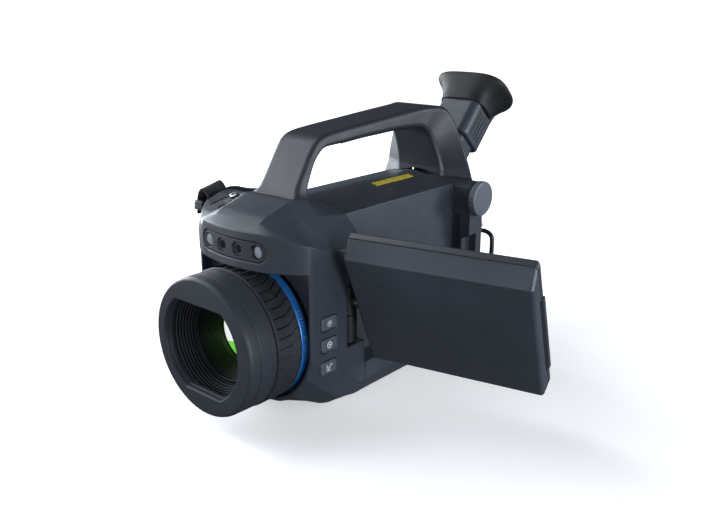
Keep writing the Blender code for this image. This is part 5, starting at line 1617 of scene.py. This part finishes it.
band("strap_bar", [
    (BAR_X, 126.5, 96.5), (BAR_X, 130.6, 96.5), (56.5, 132.2, 96.0), (61.0, 132.4, 94.0),
    (63.0, 132.4, 89.5), (63.0, 132.4, 74), (61.0, 132.4, 70), (56.5, 132.2, 68),
    (BAR_X, 130.6, 67.5), (BAR_X, 126.5, 67.5)],
    1.9, 1.9, (0, 0.2, 1), "hinge", "strap_bar_left", n=5, sub=6, r=1.85,
    slot="hinge_metal")
screw = raw("bar_screw", rod((BAR_X, 0, 102.6), Y_AXIS, 2.6, 126.4, 129.0, 40, 0.5))
cut(screw, prism(circle(1.3, 6, BAR_X, 102.6), along_y, 128.0, 130.0))
finish(screw, "chrome", "bright_metal", "strap_bar_screw", 30)

# ================= straps =================
band("strap_loop_front", [
    (-55.8, -82, 139.5), (-61, -82.5, 140), (-64.6, -81.4, 139.6), (-66.2, -77, 138.6),
    (-66.6, -67, 137.2), (-66.2, -57, 136.2), (-63.4, -53.4, 135.9), (-57.7, -53.0, 135.8)],
    3.6, 1.3, (0.1, 0, 1), "bracket", "strap_bracket_front", n=5, sub=8, r=1.1,
    slot="control_black")
band("strap_loop_rear", [
    (-57.5, 96, 72), (-61, 96, 72), (-64.6, 98, 72), (-65.4, 103, 72), (-64.6, 108, 72),
    (-61, 110, 72), (-57.5, 110, 72)],
    9.0, 1.3, Z_AXIS, "control", "strap_bracket_rear", n=5, sub=8, r=1.1,
    slot="control_black")
band("strap_web", [
    (-60.6, -66.6, 127.5), (-60.2, -66.6, 134.0), (-58.9, -66.2, 141.0),
    (-58.5, -65.8, 146.0), (-60.4, -66.2, 149.6), (-63.2, -66.6, 151.8),
    (-66.4, -66.8, 150.4), (-68.7, -67.0, 145.5), (-69.5, -67.2, 138.0),
    (-69.9, -67.4, 130.5)],
    9.2, 0.95, (0.0, 0.973, 0.23), "webbing", "strap_webbing", n=3, sub=8, r=0.7, wave=0.05)

# hand pad: x, y, z, half width and half thickness over the binding
PAD = [
    (-73.4, -64.0, 132.5, 7, 1.6), (-74.0, -42.0, 137.2, 8.6, 2.2),
    (-77.0, -24.0, 129.5, 12, 3.4), (-82.6, -4.0, 118.6, 18, 4.4),
    (-86.6, 22.0, 105.0, 23, 4.6), (-84.6, 50.0, 93.0, 22, 4.4),
    (-78.0, 72.0, 84.6, 17, 3.4), (-71.4, 86.0, 79.6, 11, 2.4), (-66.8, 93.0, 76.6, 8, 1.6),
]
PAD_BULGE = 0.10
STITCH_INSET, STITCH_PITCH = 4.6, 2.2
STITCH = ((-0.16, -0.1), (0.16, -0.1), (0.16, 0.14), (-0.16, 0.14))
stations = band("hand_pad", [row[:3] for row in PAD], [row[3] - 0.9 for row in PAD],
                [row[4] - 0.5 for row in PAD], (0.15, 0.3, 1.0), "fabric", "hand_strap",
                n=5, sub=9, bulge=PAD_BULGE, wave=0.10)
# point, width direction, tangent, half width, half thickness
spine = []
for i, (p, w, a, t) in enumerate(stations):
    tangent = tangent_at(stations, i)
    spine.append((p, square_to(w, tangent), tangent, a, t))


def outward(tangent, w):
    """Normal of the pad's outer face, towards -X."""
    normal = tangent.cross(w)
    return -normal if normal.x > 0 else normal


def pad_stitches(side):
    """Row of stitches inside one edge of the pad."""
    shapes = []
    for (p, w, tangent, a, t), (p2, w2, _, a2, t2) in zip(spine[2:-2], spine[3:-1]):
        count = max(1, int((p2 - p).length / STITCH_PITCH))
        for k in range(count):
            f = (k + 0.5) / count
            across = w.lerp(w2, f).normalized()
            half_w = a + (a2 - a) * f
            half_t = t + (t2 - t) * f
            inset = half_w - STITCH_INSET
            normal = outward(tangent, across)
            swell = 1 + PAD_BULGE * (1 - min(1.0, inset / half_w) ** 2)
            middle = p.lerp(p2, f) + across * inset * side + normal * (half_t * swell + 0.04)
            shapes.append(loft([[middle + tangent * (end * 0.62) + across * u + normal * v
                                 for u, v in STITCH] for end in (-1, 1)]))
    return merge(shapes)


for side, name in ((1, "upper"), (-1, "lower")):
    rim = spine[::3]
    band("pad_binding_" + name, [p + w * (a - 1.2) * side for p, w, _, a, _ in rim],
         1.9, [t * 1.02 + 0.1 for *_, t in rim], [w for _, w, *_ in rim], "binding",
         n=4, sub=3, r=1.5)
    piece("pad_stitches_" + name, pad_stitches(side), "thread", "webbing", smooth=40,
          weighted=False)
# strip along the middle of the pad's outer face
middle = spine[18:46:3]
band("pad_reinforcement",
     [p + outward(tangent, w) * (t * 1.10 + 0.1) for p, w, tangent, _, t in middle],
     8.5, 0.45, [w for _, w, *_ in middle], "webbing", n=3, sub=4, r=0.3)

# CAD nodes still shown take the body finish
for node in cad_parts.values():
    if not node.hide_render:
        node.data.materials.clear()
        node.data.materials.append(MATERIALS["body"])


# ================= floor, light and camera: metres =================
def stage_floor():
    """Near-white floor that glows more with distance."""
    s = Shader("stage_floor")
    cloud = s.noise(scale=6.0, detail=3.0)
    base = s.mix(s.mul(cloud, 0.06), (0.93, 0.93, 0.935), (0.88, 0.885, 0.89))
    x, y, _ = s.xyz()
    distance = s.math("SQRT", s.add(s.math("POWER", x, 2.0), s.math("POWER", y, 2.0)))
    far = s.ramp(distance, low=0.20, high=0.95)
    return s.done(Base_Color=base, Roughness=0.85, Specular_IOR_Level=0.15,
                  Emission_Color=(1, 1, 1), Emission_Strength=s.add(0.42, s.mul(far, 0.7)))


bpy.ops.mesh.primitive_plane_add(size=80.0, location=(0.0, 0.0, -0.00155))
floor = bpy.context.object
floor.name = "floor"
floor.data.materials.append(stage_floor())
floor.visible_diffuse = False
floor.visible_glossy = False


def place(name, data, location, direction):
    """Light or camera that looks along a direction."""
    ob = bpy.data.objects.new(name, data)
    ob.location = location
    ob.rotation_mode = "QUATERNION"
    ob.rotation_quaternion = direction.to_track_quat("-Z", "Y")
    scene.collection.objects.link(ob)
    return ob


AIM = (0.03, 0.0, 0.09)
COOL = (0.87, 0.925, 1.0)
# name, location, target, width, height, watts
LIGHTS = [
    ("left", (-1.3, 0.1, 0.3), AIM, 0.7, 0.7, 22.0),
    ("left_front", (-1.1, -0.75, 0.55), AIM, 0.7, 0.9, 10.0),
    ("front", (0.1, -1.4, 0.35), AIM, 0.9, 0.6, 3.0),
    ("front_right_low", (1.0, -1.0, 0.12), AIM, 0.7, 0.6, 4.3),
    ("right", (1.35, -0.1, 0.15), AIM, 0.8, 0.6, 13.5),
    ("right_rear", (1.1, 0.8, 0.35), AIM, 0.6, 0.6, 9.0),
    ("top_left", (-0.7, -0.3, 1.2), AIM, 0.6, 0.6, 6.0),
    ("pod", (-0.42, -0.16, 0.33), (-0.05, -0.075, 0.142), 0.10, 0.10, 0.16),
    ("left_low", (-0.9, -1.0, 0.05), AIM, 0.6, 0.5, 2.5),
]
for name, location, target, width, height, watts in LIGHTS:
    light = bpy.data.lights.new(name, "AREA")
    light.shape = "RECTANGLE"
    light.size = width
    light.size_y = height
    light.energy = watts
    light.color = COOL
    place(name, light, location, Vector(target) - Vector(location))

# white to the camera, a faint cool fill to everything else
world = bpy.data.worlds.new("studio")
scene.world = world
world.use_nodes = True
nodes, links = world.node_tree.nodes, world.node_tree.links
fill = nodes["Background"]
fill.inputs["Color"].default_value = (0.62, 0.68, 0.78, 1.0)
fill.inputs["Strength"].default_value = 0.10
backdrop = nodes.new("ShaderNodeBackground")
backdrop.inputs["Color"].default_value = (1, 1, 1, 1)
backdrop.inputs["Strength"].default_value = 1.0
light_path = nodes.new("ShaderNodeLightPath")
switch = nodes.new("ShaderNodeMixShader")
links.new(light_path.outputs["Is Camera Ray"], switch.inputs[0])
links.new(fill.outputs[0], switch.inputs[1])
links.new(backdrop.outputs[0], switch.inputs[2])
links.new(switch.outputs[0], nodes["World Output"].inputs["Surface"])

camera = bpy.data.cameras.new("camera")
camera.lens = 40.74
camera.sensor_width = 36.0
camera.clip_start = 0.01
camera.clip_end = 50.0
azimuth, elevation = math.radians(41.0), math.radians(18.0)
backward = Vector((math.sin(azimuth) * math.cos(elevation),
                   -math.cos(azimuth) * math.cos(elevation), math.sin(elevation)))
scene.camera = place("camera", camera, (0.4065, -0.4440, 0.2813), -backward)
scene.view_settings.view_transform = "Standard"
scene.view_settings.look = "None"
scene.view_settings.exposure = 0.0
scene.view_settings.gamma = 1.0
